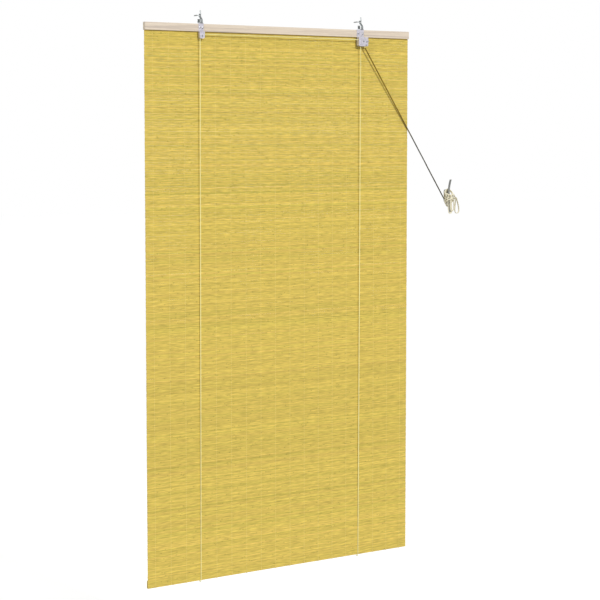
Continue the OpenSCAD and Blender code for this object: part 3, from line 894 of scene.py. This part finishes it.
@dataclass
class LiftCord:
    """One of the two lift cords, in the runs that behave alike when the blind is raised.

    The point of loop() at index lowest is where the cord passes under the mat.
    """

    side: str
    node: str
    x: float
    beyond: Sequence[Point]
    beyond_name: str
    cord: LaidCord = LaidCord(diameter=0.002, strands=3, corners=12, lay_per_m=130.0)
    knot_y: float = -0.0095
    knot_z: float = -0.038
    pulley_y: float = -0.028
    pulley_z: float = -0.0595
    mat_low: float = -1.625
    lowest: int = 5
    knot_centre: Pair = (-0.0089, -0.0362)
    knot_r: float = 0.0019
    knot_wire: float = 0.0007

    def loop(self) -> list[Point]:
        """Route from the cord's knot, round the mat's lower edge, and up to its pulley.

        Returns:
            The route's points.
        """
        profile = [
            (self.knot_y, self.knot_z), (-0.0095, -1.612), (-0.0095, self.mat_low), (-0.0102, -1.6275),
            (-0.012, -1.6293), (-0.0145, -1.63), (-0.017, -1.6293), (-0.0188, -1.6275),
            (-0.0195, self.mat_low), (-0.0196, -1.612), (-0.028, -0.08), (self.pulley_y, self.pulley_z),
        ]
        return [(self.x, y, z) for y, z in profile]

    def run(self, name: str, points: Sequence[Point], palette: Palette, others: Sequence[Item] = ()) -> Item:
        """Make one run of laid cord.

        Args:
            name: Name of the piece.
            points: Its route, from its exit.
            palette: The finishes.
            others: Pieces that go with it.

        Returns:
            The run's mesh object.
        """
        line = Route.curved(np.array(points, float), self.cord.step)
        piece = self.cord.sweep(name, line)
        Fitter.mount(piece, palette.lift_cord, Body.FRAME, Slot.LIFT_CORD, self.node)
        self.cord.declare(piece, line, tuple(line[0]), FarEnd.OBJECT, others)
        return piece

    def build(self, palette: Palette, share: LiftShare) -> None:
        """Make the runs and the knot.

        Args:
            palette: The finishes.
            share: How soft pieces shorten.
        """
        loop = self.loop()
        knot = Knot(f"{self.side}_end_knot", (self.x, *self.knot_centre), self.knot_r, self.knot_wire).build()
        Fitter.mount(knot, palette.lift_cord, Body.FRAME, Slot.LIFT_CORD, "cord_knots")
        back = self.run(f"{self.node}_back", loop[:self.lowest + 1], palette, [knot])
        share.shorten(back)
        front = self.run(f"{self.node}_front", loop[self.lowest:][::-1], palette)
        share.shorten(front)
        self.run(self.beyond_name, [loop[-1], *self.beyond], palette)


@dataclass
class Knot:
    """A small overhand knot with a short tail."""

    name: str
    place: Point
    radius: float
    wire: float
    opening: float = 0.25
    depth: float = 1.4
    points: int = 60
    sides: int = 8

    def build(self) -> Item:
        """Sweep an open trefoil, whose plain formula reaches 3 from its centre.

        Returns:
            The knot.
        """
        t = np.linspace(self.opening, math.tau - self.opening, self.points)
        line = np.stack([
            np.sin(t) + 2 * np.sin(2 * t), np.cos(t) - 2 * np.cos(2 * t), -self.depth * np.sin(3 * t)
        ], axis=1)
        line *= (self.radius - self.wire) / 3.0
        return Bench.sweep(self.name, line + np.array(self.place), Section.round(self.wire, self.sides))


@dataclass(frozen=True)
class NeckTurn:
    """A stretch of cord wound round the cleat's neck, in turns and mm; squareness flattens its long sides."""

    begin: float
    end: float
    radius: Pair
    out: Pair
    per_turn: int = 14
    squareness: float = 1.6

    def points(self, core: float) -> list[Point]:
        """Points along the stretch, without its end.

        Args:
            core: Half length of the neck's straight sides.

        Returns:
            Points as sideways, outwards and up from the cleat's centre.
        """
        count = int(round((self.end - self.begin) * self.per_turn))
        places = []
        for i in range(count):
            angle = math.tau * (self.begin + (self.end - self.begin) * i / count)
            radius, out = (pair[0] + (pair[1] - pair[0]) * i / count for pair in (self.radius, self.out))
            level = radius * math.cos(angle) + core * min(max(self.squareness * math.cos(angle), -1), 1)
            places.append((radius * math.sin(angle), out, -level))
        return places


@dataclass
class PullCord:
    """The twisted pair that leaves the lock and is belayed on the cleat, with its spare length in loops.

    The points on the cleat are in mm: sideways, outwards and up from its centre. The colour fades over two
    stretches: one measured from the lock, where painted brown shade gives way to the run's darker painted shade, and
    fade, measured from where the cord meets the cleat, where the painted shade gives way to the hank's cream.
    """

    cord: LaidCord = LaidCord(diameter=0.004, strands=2, corners=16, lay_per_m=140.0)
    start: Point = (0.2827, -0.0301, -0.078)
    run_step: float = 0.04
    knot_r: float = 0.0042
    knot_wire: float = 0.0016
    knot_ahead: float = 0.002
    neck_core: float = 8.8
    # Stretch from the lock over which the painted brown shade gives way to the run's darker painted shade.
    shade_near_lock: Pair = (0.26, 0.33)
    # Stretch past the cleat over which the painted shade gives way to the hank's cream.
    fade: Pair = (0.004, 0.016)
    arrival: Sequence[Point] = ((-7.7, 12.4, -17.2), (-5.6, 12.3, -19.6), (-2, 12.2, -20.6), (2.4, 12, -19.6))
    turns: Sequence[NeckTurn] = (
        NeckTurn(0.12, 1.0, (9.4, 5.6), (12.0, 9.4)), NeckTurn(1.0, 2.0, (5.6, 5.6), (9.4, 5.4)),
        NeckTurn(2.0, 3.0, (8.4, 9.8), (5.4, 8.0)),
    )
    figure: Sequence[Point] = (
        (0, 8, -18.6), (6, 8.4, -17.6), (11, 10.6, -13.4), (13.8, 14.6, -8.8), (12.4, 20, -5.4), (6.5, 25, -1.6),
        (-1, 26.2, 2.6), (-8, 23, 6.5), (-11.5, 17, 10.5), (-9, 12.2, 15.6), (0, 11, 19), (9, 12.2, 15.6),
        (12.4, 17, 10), (10.4, 23.6, 6.6), (3.8, 29.6, 3), (-3.2, 30.4, -1.4), (-9.8, 26, -6), (-12.6, 18.6, -11),
        (-9.4, 14, -19), (0, 13.4, -24), (9.4, 13.6, -19.5), (15.4, 17.6, -10), (16.4, 20, 0), (14.6, 18, 10),
        (9.8, 14.4, 17.2), (0, 13.4, 21.8), (-9.8, 14.4, 17.8), (-14.2, 18.6, 11.5), (-13, 23, 5), (-13.4, 25, 0),
        (-14.2, 25.4, -4.5), (-16, 21, -11), (-11.5, 16, -22.5), (0, 14, -28), (11, 15, -23), (18, 20, -12),
        (17.4, 26.5, -3), (12.4, 31.8, 3.2)
    )
    loops: Sequence[Point] = (
        (6.4, 33.6, 5.6), (0.4, 34, 3.8), (-2, 34.2, -3), (-2.2, 34.4, -14), (-2, 35.6, -32), (-2.2, 36.4, -46.6),
        (-4, 36.7, -51), (-8, 36.8, -52.8), (-12, 36.7, -51), (-13.8, 36.4, -46.6), (-14.4, 35.3, -31),
        (-14.6, 34, -12), (-14.4, 34, -2.4), (-12.9, 34.6, 2.2), (-9.2, 35.6, 4), (-5.5, 36.8, 2.2), (-4, 37.4, -2.4),
        (-5, 38, -13), (-5.7, 38.6, -28), (-5.6, 39, -38), (-3.8, 39.2, -42.4), (0.5, 39.2, -44.4), (4.8, 39, -42.4),
        (6.6, 38.6, -38), (7, 37.6, -24), (7.2, 36.4, -13.4), (8.2, 35.7, -7.8), (10.6, 35, -4.2), (14, 34.7, -3.2),
        (17.4, 34.8, -5.8), (20.6, 35, -13.6), (24, 35.4, -24), (26.6, 36, -37), (26.6, 36.4, -46), (23.8, 36.8, -51.2),
        (18.6, 37, -53.2), (13.6, 37, -51.2), (11.2, 37, -46), (11.6, 37.2, -30), (12.6, 38, -15), (10, 39.6, -7),
        (3.6, 40.6, -3.6), (-4, 40.6, -3.8), (-8.8, 40.6, -9), (-9.8, 40.8, -22), (-9.4, 41, -39.4),
        (-7.6, 41.2, -43.9), (-3.2, 41.2, -45.7), (1.2, 41.2, -43.9), (3, 41, -39.4), (3.2, 41, -24),
        (2.8, 41.6, -14.4), (-0.2, 43, -9.6), (-5.4, 43.8, -8.2), (-11.4, 42, -9), (-16.4, 38, -11), (-18.6, 32, -15),
        (-16.2, 26, -20.6), (-10.6, 19.4, -27.4), (-3, 16.4, -31.6), (4.6, 15.8, -32)
    )

    def neck_turns(self) -> list[Point]:
        """Points of the turns round the neck."""
        return [point for turn in self.turns for point in turn.points(self.neck_core)]

    def build(self, palette: Palette) -> None:
        """Args:
            palette: The finishes.
        """
        low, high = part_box("cleat")
        centre = np.array([(low.x + high.x) / 2, 0.0, (low.z + high.z) / 2])
        belay = [*self.arrival, *self.neck_turns(), *self.figure, *self.loops]
        wound = np.array([(dx, -out, dz) for dx, out, dz in belay]) * MM + centre
        run = Route.spaced(np.array([self.start, tuple(wound[0])]), self.run_step)
        line = Route.curved(np.vstack([run[:-1], wound]), self.cord.step)
        end = tuple(line[-1] + np.array([self.knot_ahead, 0, 0]))
        knot = Knot("pull_cord_end_knot", end, self.knot_r, self.knot_wire).build()
        Bench.mark(knot, "hank_share", line[-1:], np.ones(1))
        Fitter.mount(knot, palette.pull_cord, Body.FRAME, Slot.PULL_CORD)
        piece = self.cord.sweep("pull_cord_hank", line)
        along = np.arange(len(line)) * self.cord.step
        past = along - np.linalg.norm(wound[0] - np.array(self.start))
        # lock_share weights the painted brown shade near the lock; hank_share fades the painted shade into the cream
        # hank.
        Bench.mark(piece, "lock_share", line, np.interp(along, self.shade_near_lock, (1.0, 0.0)))
        Bench.mark(piece, "hank_share", line, np.interp(past, self.fade, (0.0, 1.0)))
        Fitter.mount(piece, palette.pull_cord, Body.FRAME, Slot.PULL_CORD, "pull_cord", "cord_hank")
        self.cord.declare(piece, line, self.start, FarEnd.KNOT, [knot])


@dataclass
class ReedMat:
    """The mat: split reeds side by side, each with its own tone, bow and cane joints."""

    count: int = 608
    sides: int = 6
    rings: int = 12
    seed: int = 11
    gap: float = 0.00003
    joint_half: float = 0.0032
    joint_bulge: float = 0.16
    first_joint: Pair = (-0.42, -0.02)
    joint_apart: Pair = (0.36, 0.44)
    end_trim: Pair = (-0.0002, 0.0006)
    thickness: Pair = (0.9, 1.0)
    bow: float = 0.00012
    bow_waves: float = 9.0
    tone: Pair = (0.5, 0.2)
    crease: float = 65.0

    def __post_init__(self) -> None:
        """Take the mat's place from its CAD solid."""
        self.low, self.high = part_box("bamboo_mat")
        self.pitch = (self.high.z - self.low.z) / self.count

    def one_reed(self) -> Item:
        """Model the lowest reed as a cylinder cut into rings.

        Returns:
            The reed.
        """
        centre = (0, (self.low.y + self.high.y) / 2, self.low.z + self.pitch / 2)
        reed = Bench.cylinder("reed_mat", 1.0, 1.0, self.sides, turn=(0, math.pi / 2, 0))
        Bench.pick_edges(reed, lambda edge: abs(edge.verts[0].co.x - edge.verts[1].co.x) > 0.5)
        bpy.ops.mesh.subdivide(number_cuts=self.rings - 2)
        bpy.ops.object.mode_set(mode="OBJECT")
        wanted = (self.high.x - self.low.x, self.high.y - self.low.y, self.pitch - self.gap)
        reed.scale = [want / have for want, have in zip(wanted, reed.dimensions)]
        reed.location = centre
        Bench.settle(reed)
        return reed

    def ring_places(self, chance: np.random.Generator) -> tuple[np.ndarray, np.ndarray]:
        """Places of the rings along one reed, and how much each belongs to a cane joint.

        Args:
            chance: The source of the reed's own numbers.

        Returns:
            Ring places in metres and joint weights from 0 to 1, both sorted along the reed.
        """
        first = chance.uniform(*self.first_joint)
        second = first + chance.uniform(*self.joint_apart)
        joints = [(p + k * self.joint_half, 1.0 if k == 0 else 0.0) for p in (first, second) for k in (-1, 0, 1)]
        ends = [(self.low.x + chance.uniform(*self.end_trim), 0.0), (self.high.x - chance.uniform(*self.end_trim), 0.0)]
        free = self.rings - len(joints) - len(ends)
        spare = [(self.low.x + (self.high.x - self.low.x) * (i + 0.5) / free, 0.0) for i in range(free)]
        chosen = sorted(joints + ends + spare)
        return np.array([c[0] for c in chosen]), np.array([c[1] for c in chosen])

    def vary(self, mat: Item) -> None:
        """Give each reed its own rings, bow, thickness and tone.

        Args:
            mat: All reeds as one mesh object, lowest first.
        """
        chance = np.random.default_rng(self.seed)
        mesh = mat.data
        flat = np.zeros(len(mesh.vertices) * 3)
        mesh.vertices.foreach_get("co", flat)
        points = flat.reshape(self.count, -1, 3)
        order = np.round((points[0, :, 0] - self.low.x) / (self.high.x - self.low.x) * (self.rings - 1)).astype(int)
        tone, hue, joint = (np.zeros(points.shape[:2]) for _ in range(3))
        middle_y = (self.low.y + self.high.y) / 2
        for i in range(self.count):
            places, weights = self.ring_places(chance)
            middle_z = self.low.z + (i + 0.5) * self.pitch
            thick = chance.uniform(*self.thickness)
            bow = chance.uniform(-self.bow, self.bow)
            swell = 1 + self.joint_bulge * weights[order]
            x = places[order]
            points[i, :, 0] = x
            points[i, :, 1] = middle_y + (points[i, :, 1] - middle_y) * thick * swell
            points[i, :, 2] = middle_z + (points[i, :, 2] - middle_z) * swell + bow * np.cos(x * self.bow_waves + i)
            tone[i] = np.clip(chance.normal(*self.tone), 0, 1)
            hue[i] = np.clip(chance.normal(*self.tone), 0, 1)
            joint[i] = weights[order]
        mesh.vertices.foreach_set("co", points.ravel())
        for name, values in (("reed_tone", tone), ("reed_hue", hue), ("reed_joint", joint)):
            mesh.attributes.new(name, "FLOAT", "POINT").data.foreach_set("value", values.ravel())
        mesh.update()

    def build(self, palette: Palette, share: LiftShare) -> None:
        """Model one reed, repeat it, vary the copies and mount the mat.

        Args:
            palette: The finishes.
            share: How soft pieces shorten.
        """
        mat = self.one_reed()
        Bench.repeat(mat, self.count, (0, 0, self.pitch))
        self.vary(mat)
        Bench.smooth(mat, self.crease)
        Fitter.mount(mat, palette.reed, Body.FRAME, Slot.BAMBOO, "bamboo_mat")
        share.shorten(mat)


@dataclass
class WarpThreads:
    """The warp: pairs of yarns that twist round the reeds, and the ties that hold the bottom slat."""

    lines: int = 18
    spacing: float = 0.05
    yarn: float = 0.00042
    reach: float = 0.00108
    sway: float = 0.00045
    reeds_per_turn: int = 4
    steps: int = 6
    sides: int = 4
    tucked: float = 0.004
    tie_sides: int = 6
    tie_step: float = 0.0012
    tie_top: float = 0.012
    tie_tail: float = 0.004
    tie_bend: float = 0.0008
    clear: float = 0.0001

    @property
    def first_x(self) -> float:
        """Place of the first warp line."""
        return -self.spacing * (self.lines - 1) / 2

    def helix(self, phase: float, mat: ReedMat, top: float) -> np.ndarray:
        """A yarn's turns round the reeds, starting at the mat's lower edge.

        Args:
            phase: Start angle of the yarn.
            mat: The reeds that it binds.
            top: The level where the warp ends.

        Returns:
            The yarn's points from bottom to top.
        """
        turn = mat.pitch * self.reeds_per_turn
        turns = int((top - mat.low.z) / turn)
        angle = np.arange(turns * self.steps + 1) * math.tau / self.steps
        z = mat.low.z + angle / math.tau * turn
        middle = (mat.low.y + mat.high.y) / 2
        x = self.first_x + self.sway * np.sin(angle + phase)
        return np.stack([x, middle - self.reach * np.cos(angle + phase), z], axis=1)

    def tie(self) -> np.ndarray:
        """Line of the first tie round the bottom slat.

        Returns:
            The tie's points.
        """
        low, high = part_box("bottom_slat")
        mat_low, mat_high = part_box("bamboo_mat")
        out, bend = self.yarn + self.clear, self.tie_bend
        front, back = mat_low.y - out, high.y + out
        under, over = low.z - out, high.z + out
        profile = [
            (front, low.z + self.tie_top), (front, low.z + 0.0005), (front + bend, under), (-0.0145, under),
            (back - bend, under), (back, low.z + 0.001), (back, high.z - 0.001), (back - bend, over), (low.y, over),
            (mat_high.y + self.clear, high.z - 0.0006), (mat_high.y - 0.0005, high.z - self.tie_tail),
        ]
        return Route.curved(np.array([(self.first_x, y, z) for y, z in profile]), self.tie_step)

    def build(self, palette: Palette, share: LiftShare, mat: ReedMat) -> None:
        """Make both yarns of every line, and the ties.

        Args:
            palette: The finishes.
            share: How soft pieces shorten.
            mat: The reeds that the yarns bind.
        """
        headrail_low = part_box("headrail_front")[0].z
        next_line = (self.spacing, 0, 0)
        for name, phase in (("warp_yarn_front", 0.0), ("warp_yarn_back", math.pi)):
            line = self.helix(phase, mat, headrail_low + self.tucked)
            yarn = Bench.sweep(name, line, Section.round(self.yarn, self.sides))
            Bench.repeat(yarn, self.lines, next_line)
            Fitter.mount(yarn, palette.thread, Body.FRAME, Slot.THREAD, "warp_threads")
            share.shorten(yarn)
        tie = Bench.sweep("slat_ties", self.tie(), Section.round(self.yarn, self.tie_sides))
        Bench.repeat(tie, self.lines, next_line)
        Fitter.mount(tie, palette.thread, Body.SLAT, Slot.THREAD, "warp_threads")


@dataclass
class PanScrew:
    """A cross-recessed screw with a rounded head."""

    head_r: float = 0.0026
    head_h: float = 0.0016
    shank_r: float = 0.0014
    slot_w: float = 0.0007
    slot_l: float = 0.0028
    slot_d: float = 0.0009
    head_sides: int = 28
    shank_sides: int = 20
    rounding: float = 0.6
    crease: float = 35.0

    def model(self, name: str, shank: float) -> Item:
        """Model one screw that points down, with the underside of its head at the origin.

        Args:
            name: Name of the object.
            shank: Length of the shank.

        Returns:
            The screw.
        """
        head = Bench.cylinder(name, self.head_r, self.head_h, self.head_sides, (0, 0, self.head_h / 2))
        rim = self.head_h * 0.9
        Bench.pick_edges(head, lambda edge: all(v.co.z > rim for v in edge.verts))
        bpy.ops.mesh.bevel(offset=self.head_h * self.rounding, segments=4, affect="EDGES")
        bpy.ops.object.mode_set(mode="OBJECT")
        for size in ((self.slot_l, self.slot_w), (self.slot_w, self.slot_l)):
            Bench.cut(head, Bench.box("recess", (*size, 2 * self.slot_d), (0, 0, self.head_h)))
        body = Bench.cylinder(name + "_shank", self.shank_r, shank, self.shank_sides, (0, 0, -shank / 2))
        screw = Bench.join(name, [head, body])
        Bench.smooth(screw, self.crease)
        return screw

    def set_of(self, name: str, places: Sequence[Point], shank: float, facing_front: bool) -> Item:
        """Copies of the screw at several places, as one piece.

        Args:
            name: Name of the piece.
            places: Where the undersides of the heads lie.
            shank: Length of the shanks.
            facing_front: True for heads that face the room, False for heads that face up.

        Returns:
            The joined screws.
        """
        first = self.model(name + "_first", shank)
        if facing_front:
            first.rotation_euler = (math.pi / 2, 0, 0)
            Bench.settle(first)
        copies = [Bench.copy(first, place) for place in places]
        bpy.data.objects.remove(first)
        return Bench.join(name, copies)


@dataclass
class Screws:
    """The screws of both fittings and of both hanger straps, with shanks a little shorter than in the CAD."""

    shorter: float = 0.0002

    def build(self, palette: Palette) -> None:
        """Place screws where the CAD has them.

        Args:
            palette: The finishes.
        """
        kind = PanScrew()
        for name, node in (("left_plate_screws", "left_fitting_screws"), ("lock_plate_screws", "lock_fitting_screws")):
            low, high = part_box(node)
            z = (low.z + high.z) / 2
            under = low.y + kind.head_h
            places = [(low.x + kind.head_r, under, z), (high.x - kind.head_r, under, z)]
            screws = kind.set_of(name, places, high.y - under - self.shorter, True)
            Fitter.mount(screws, palette.bright, Body.FRAME, Slot.BRIGHT_STEEL, node)
        low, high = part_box("hanger_screws")
        under = high.z - kind.head_h
        places = [(x, (low.y + high.y) / 2, under) for x in (low.x + kind.head_r, high.x - kind.head_r)]
        screws = kind.set_of("strap_screws", places, under - low.z - self.shorter, False)
        Fitter.mount(screws, palette.bright, Body.FRAME, Slot.BRIGHT_STEEL, "hanger_screws")


@dataclass
class WallHook:
    """A screw hook: wire that bends up in front, and a threaded shank with a point."""

    name: str
    node: str
    x: float
    wire_r: float = 0.00175
    core_r: float = 0.00125
    thread_r: float = 0.0016
    thread_pitch: float = 0.0014
    thread_front: float = -0.003
    thread_end: float = 0.014
    point: float = 0.019
    bend_y: float = -0.0185
    bend_r: float = 0.003
    bend_deg: float = 98.0
    tip: float = 0.0085
    arc_points: int = 18
    wire_sides: int = 20
    core_sides: int = 16
    ridge_sides: int = 6
    ridge_share: float = 0.55
    per_turn: int = 14
    run_in: float = 0.0004
    run_out: float = 0.002
    thinnest: float = 0.2
    point_share: float = 0.15

    @property
    def ridge(self) -> float:
        """Radius of the thread's ridge."""
        return (self.thread_r - self.core_r) * self.ridge_share

    def wire_line(self) -> np.ndarray:
        """Line of the bent wire.

        Returns:
            The wire's points, from the thread to the tip.
        """
        arc = np.radians(np.linspace(0, self.bend_deg, self.arc_points))
        y = self.bend_y - self.bend_r * np.sin(arc)
        z = self.bend_r - self.bend_r * np.cos(arc)
        end = (y[-1] - self.tip * math.cos(arc[-1]), z[-1] + self.tip * math.sin(arc[-1]))
        ys = [self.thread_front, *y, end[0]]
        zs = [0.0, *z, end[1]]
        return np.array([(self.x, a, b) for a, b in zip(ys, zs)])

    def thread_line(self) -> np.ndarray:
        """Helix of the thread.

        Returns:
            The thread's points, from in front of the wall to the hook's point.
        """
        turns = (self.thread_end + self.run_out - self.thread_front) / self.thread_pitch
        angle = np.linspace(0, turns * math.tau, int(turns * self.per_turn))
        y = self.thread_front + self.run_in + angle / math.tau * self.thread_pitch
        taper = np.clip((self.point - y) / (self.point - self.thread_end), self.thinnest, 1)
        radius = (self.thread_r - self.ridge) * taper
        return np.stack([self.x + radius * np.cos(angle), y, radius * np.sin(angle)], axis=1)

    def build(self, palette: Palette) -> None:
        """Sweep the wire, the core and the thread, and round the tip.

        Args:
            palette: The finishes.
        """
        line = self.wire_line()
        wire = Bench.sweep(self.name + "_wire", line, Section.round(self.wire_r, self.wire_sides))
        Bench.clear()
        bpy.ops.mesh.primitive_uv_sphere_add(segments=self.wire_sides, ring_count=self.wire_sides // 2,
                                             radius=self.wire_r, location=tuple(line[-1]))
        ball = bpy.context.object
        Bench.settle(ball)
        Bench.smooth(ball, 60)
        core_line = np.array([(self.x, y, 0) for y in (self.thread_front, 0.0, self.thread_end, self.point)])
        core = Bench.sweep(self.name + "_core", core_line, Section.round(self.core_r, self.core_sides),
                           radii=[1, 1, 1, self.point_share])
        ridge = Section.round(self.ridge, self.ridge_sides)
        thread = Bench.sweep(self.name + "_thread", self.thread_line(), ridge)
        hook = Bench.join(self.name, [wire, ball, core, thread])
        Fitter.mount(hook, palette.wire, Body.FRAME, Slot.DARK_STEEL, self.node)


@dataclass(frozen=True)
class Lamp:
    """A light of the studio: its turn in degrees, and its spread in degrees for a sun or metres for an area."""

    name: str
    kind: LampKind
    turn: Point
    energy: float
    spread: float
    place: Point = (0, 0, 0)

    def add(self) -> None:
        """Add the light to the scene."""
        Bench.clear()
        turn = tuple(math.radians(angle) for angle in self.turn)
        bpy.ops.object.light_add(type=self.kind.value, location=self.place, rotation=turn)
        lamp = bpy.context.object
        lamp.name = self.name
        lamp.data.energy = self.energy
        if self.kind is LampKind.SUN:
            lamp.data.angle = math.radians(self.spread)
        else:
            lamp.data.size = self.spread


@dataclass
class Studio:
    """Camera at the photograph's angle, soft light from the front, the side and behind, and a pale floor."""

    place: Point = (-2.5128, -4.1158, -0.3237)
    azimuth: float = 32.124
    pitch: float = -4.064
    lens: float = 98.19
    shift_y: float = -0.09
    sensor: float = 36.0
    far: float = 100.0
    floor_z: float = -2.25
    floor_size: float = 60.0
    floor_grey: float = 0.85
    seen_white: float = 1.0
    ambient: float = 0.42
    lamps: Sequence[Lamp] = (
        Lamp("key_light", LampKind.SUN, (66, 0, 3), 1.94, 2.5),
        Lamp("back_fill", LampKind.AREA, (-68, 0, 26), 60, 2.4, (-1.6, 3.2, 0.9)),
        Lamp("side_fill", LampKind.SUN, (88, 0, -70), 0.7, 40),
    )

    def camera(self) -> None:
        """Make the camera and set it as the scene's own."""
        Bench.clear()
        turn = (math.radians(90 + self.pitch), 0, math.radians(-self.azimuth))
        bpy.ops.object.camera_add(location=self.place, rotation=turn)
        camera = bpy.context.object
        camera.name = "photo_camera"
        camera.data.lens = self.lens
        camera.data.sensor_width = self.sensor
        camera.data.shift_y = self.shift_y
        camera.data.clip_end = self.far
        bpy.context.scene.camera = camera

    def light(self) -> None:
        """Add the lamps, and a surround that looks white and lights the blind a little."""
        for lamp in self.lamps:
            lamp.add()
        world = bpy.data.worlds.new("white_surround")
        bpy.context.scene.world = world
        world.use_nodes = True
        tree = world.node_tree
        tree.nodes.clear()
        output = tree.nodes.new("ShaderNodeOutputWorld")
        seen, ambient = (tree.nodes.new("ShaderNodeBackground") for _ in range(2))
        for shader, strength in ((seen, self.seen_white), (ambient, self.ambient)):
            shader.inputs["Strength"].default_value = strength
            shader.inputs["Color"].default_value = (1, 1, 1, 1)
        paths = tree.nodes.new("ShaderNodeLightPath")
        choose = tree.nodes.new("ShaderNodeMixShader")
        tree.links.new(paths.outputs["Is Camera Ray"], choose.inputs["Fac"])
        tree.links.new(ambient.outputs[0], choose.inputs[1])
        tree.links.new(seen.outputs[0], choose.inputs[2])
        tree.links.new(choose.outputs[0], output.inputs["Surface"])
        bpy.context.scene.view_settings.view_transform = "Standard"

    def floor(self) -> None:
        """A pale floor well below the blind."""
        Bench.clear()
        bpy.ops.mesh.primitive_plane_add(size=self.floor_size, location=(0, 0, self.floor_z))
        floor = bpy.context.object
        floor.name = "floor"
        Bench.settle(floor)
        pale = Finish("pale_floor")
        pale.set(Base_Color=(*[self.floor_grey] * 3, 1), Roughness=0.9, Emission_Color=(1, 1, 1, 1),
                 Emission_Strength=self.ambient)
        floor.data.materials.append(pale.material)
        floor.visible_diffuse = False
        floor.visible_glossy = False
        floor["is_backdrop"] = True


CROSS_CORD: tuple[Point, ...] = (
    (-0.2786, -0.028, -0.0576), (-0.2775, -0.028, -0.056), (-0.2759, -0.028, -0.0549), (-0.274, -0.028, -0.0545),
    (-0.266, -0.028, -0.0545), (0.264, -0.0322, -0.0545), (0.274, -0.0322, -0.0545), (0.2759, -0.0322, -0.0549),
    (0.2775, -0.0322, -0.056), (0.2786, -0.0322, -0.0576), (0.279, -0.0322, -0.0595), (0.279, -0.0322, -0.065),
    (0.279, -0.0312, -0.071), (0.2792, -0.0312, -0.0722), (0.2797, -0.0312, -0.0735), (0.2825, -0.0312, -0.0777),
)
LOCK_TURN: tuple[Point, ...] = (
    (0.2694, -0.028, -0.0576), (0.2705, -0.028, -0.056), (0.2721, -0.028, -0.0549), (0.274, -0.028, -0.0545),
    (0.2759, -0.028, -0.0549), (0.2775, -0.028, -0.056), (0.2786, -0.028, -0.0576), (0.279, -0.028, -0.0595),
    (0.279, -0.028, -0.065), (0.279, -0.029, -0.071), (0.2792, -0.029, -0.0722), (0.2797, -0.029, -0.0735),
    (0.2825, -0.029, -0.0777),
)


def corners() -> list[list[float]]:
    """The shown object's lowest and highest corner as plain lists."""
    return [[float(v) for v in corner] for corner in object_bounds()]


def main() -> None:
    """Build every piece in order."""
    logging.basicConfig(level=logging.INFO, format="%(message)s")
    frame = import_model()
    studio = Studio()
    studio.camera()
    palette = Palette()
    travel = next(j["range_m"][1] for j in frame["joints"] if j["name"] == Lift.JOINT.value)
    share = LiftShare(travel)
    LiftCord("left", "lift_cord_left", -0.279, CROSS_CORD, "cross_cord").build(palette, share)
    LiftCord("right", "lift_cord_right", 0.269, LOCK_TURN, "lock_turn_cord").build(palette, share)
    PullCord().build(palette)
    mat = ReedMat()
    mat.build(palette, share)
    WarpThreads().build(palette, share, mat)
    Screws().build(palette)
    WallHook("left_hook_wire", "left_wall_hook", -0.274).build(palette)
    WallHook("right_hook_wire", "right_wall_hook", 0.274).build(palette)
    palette.dress_nodes(frame["nodes"])
    studio.light()
    studio.floor()


if __name__ == "__main__":
    main()
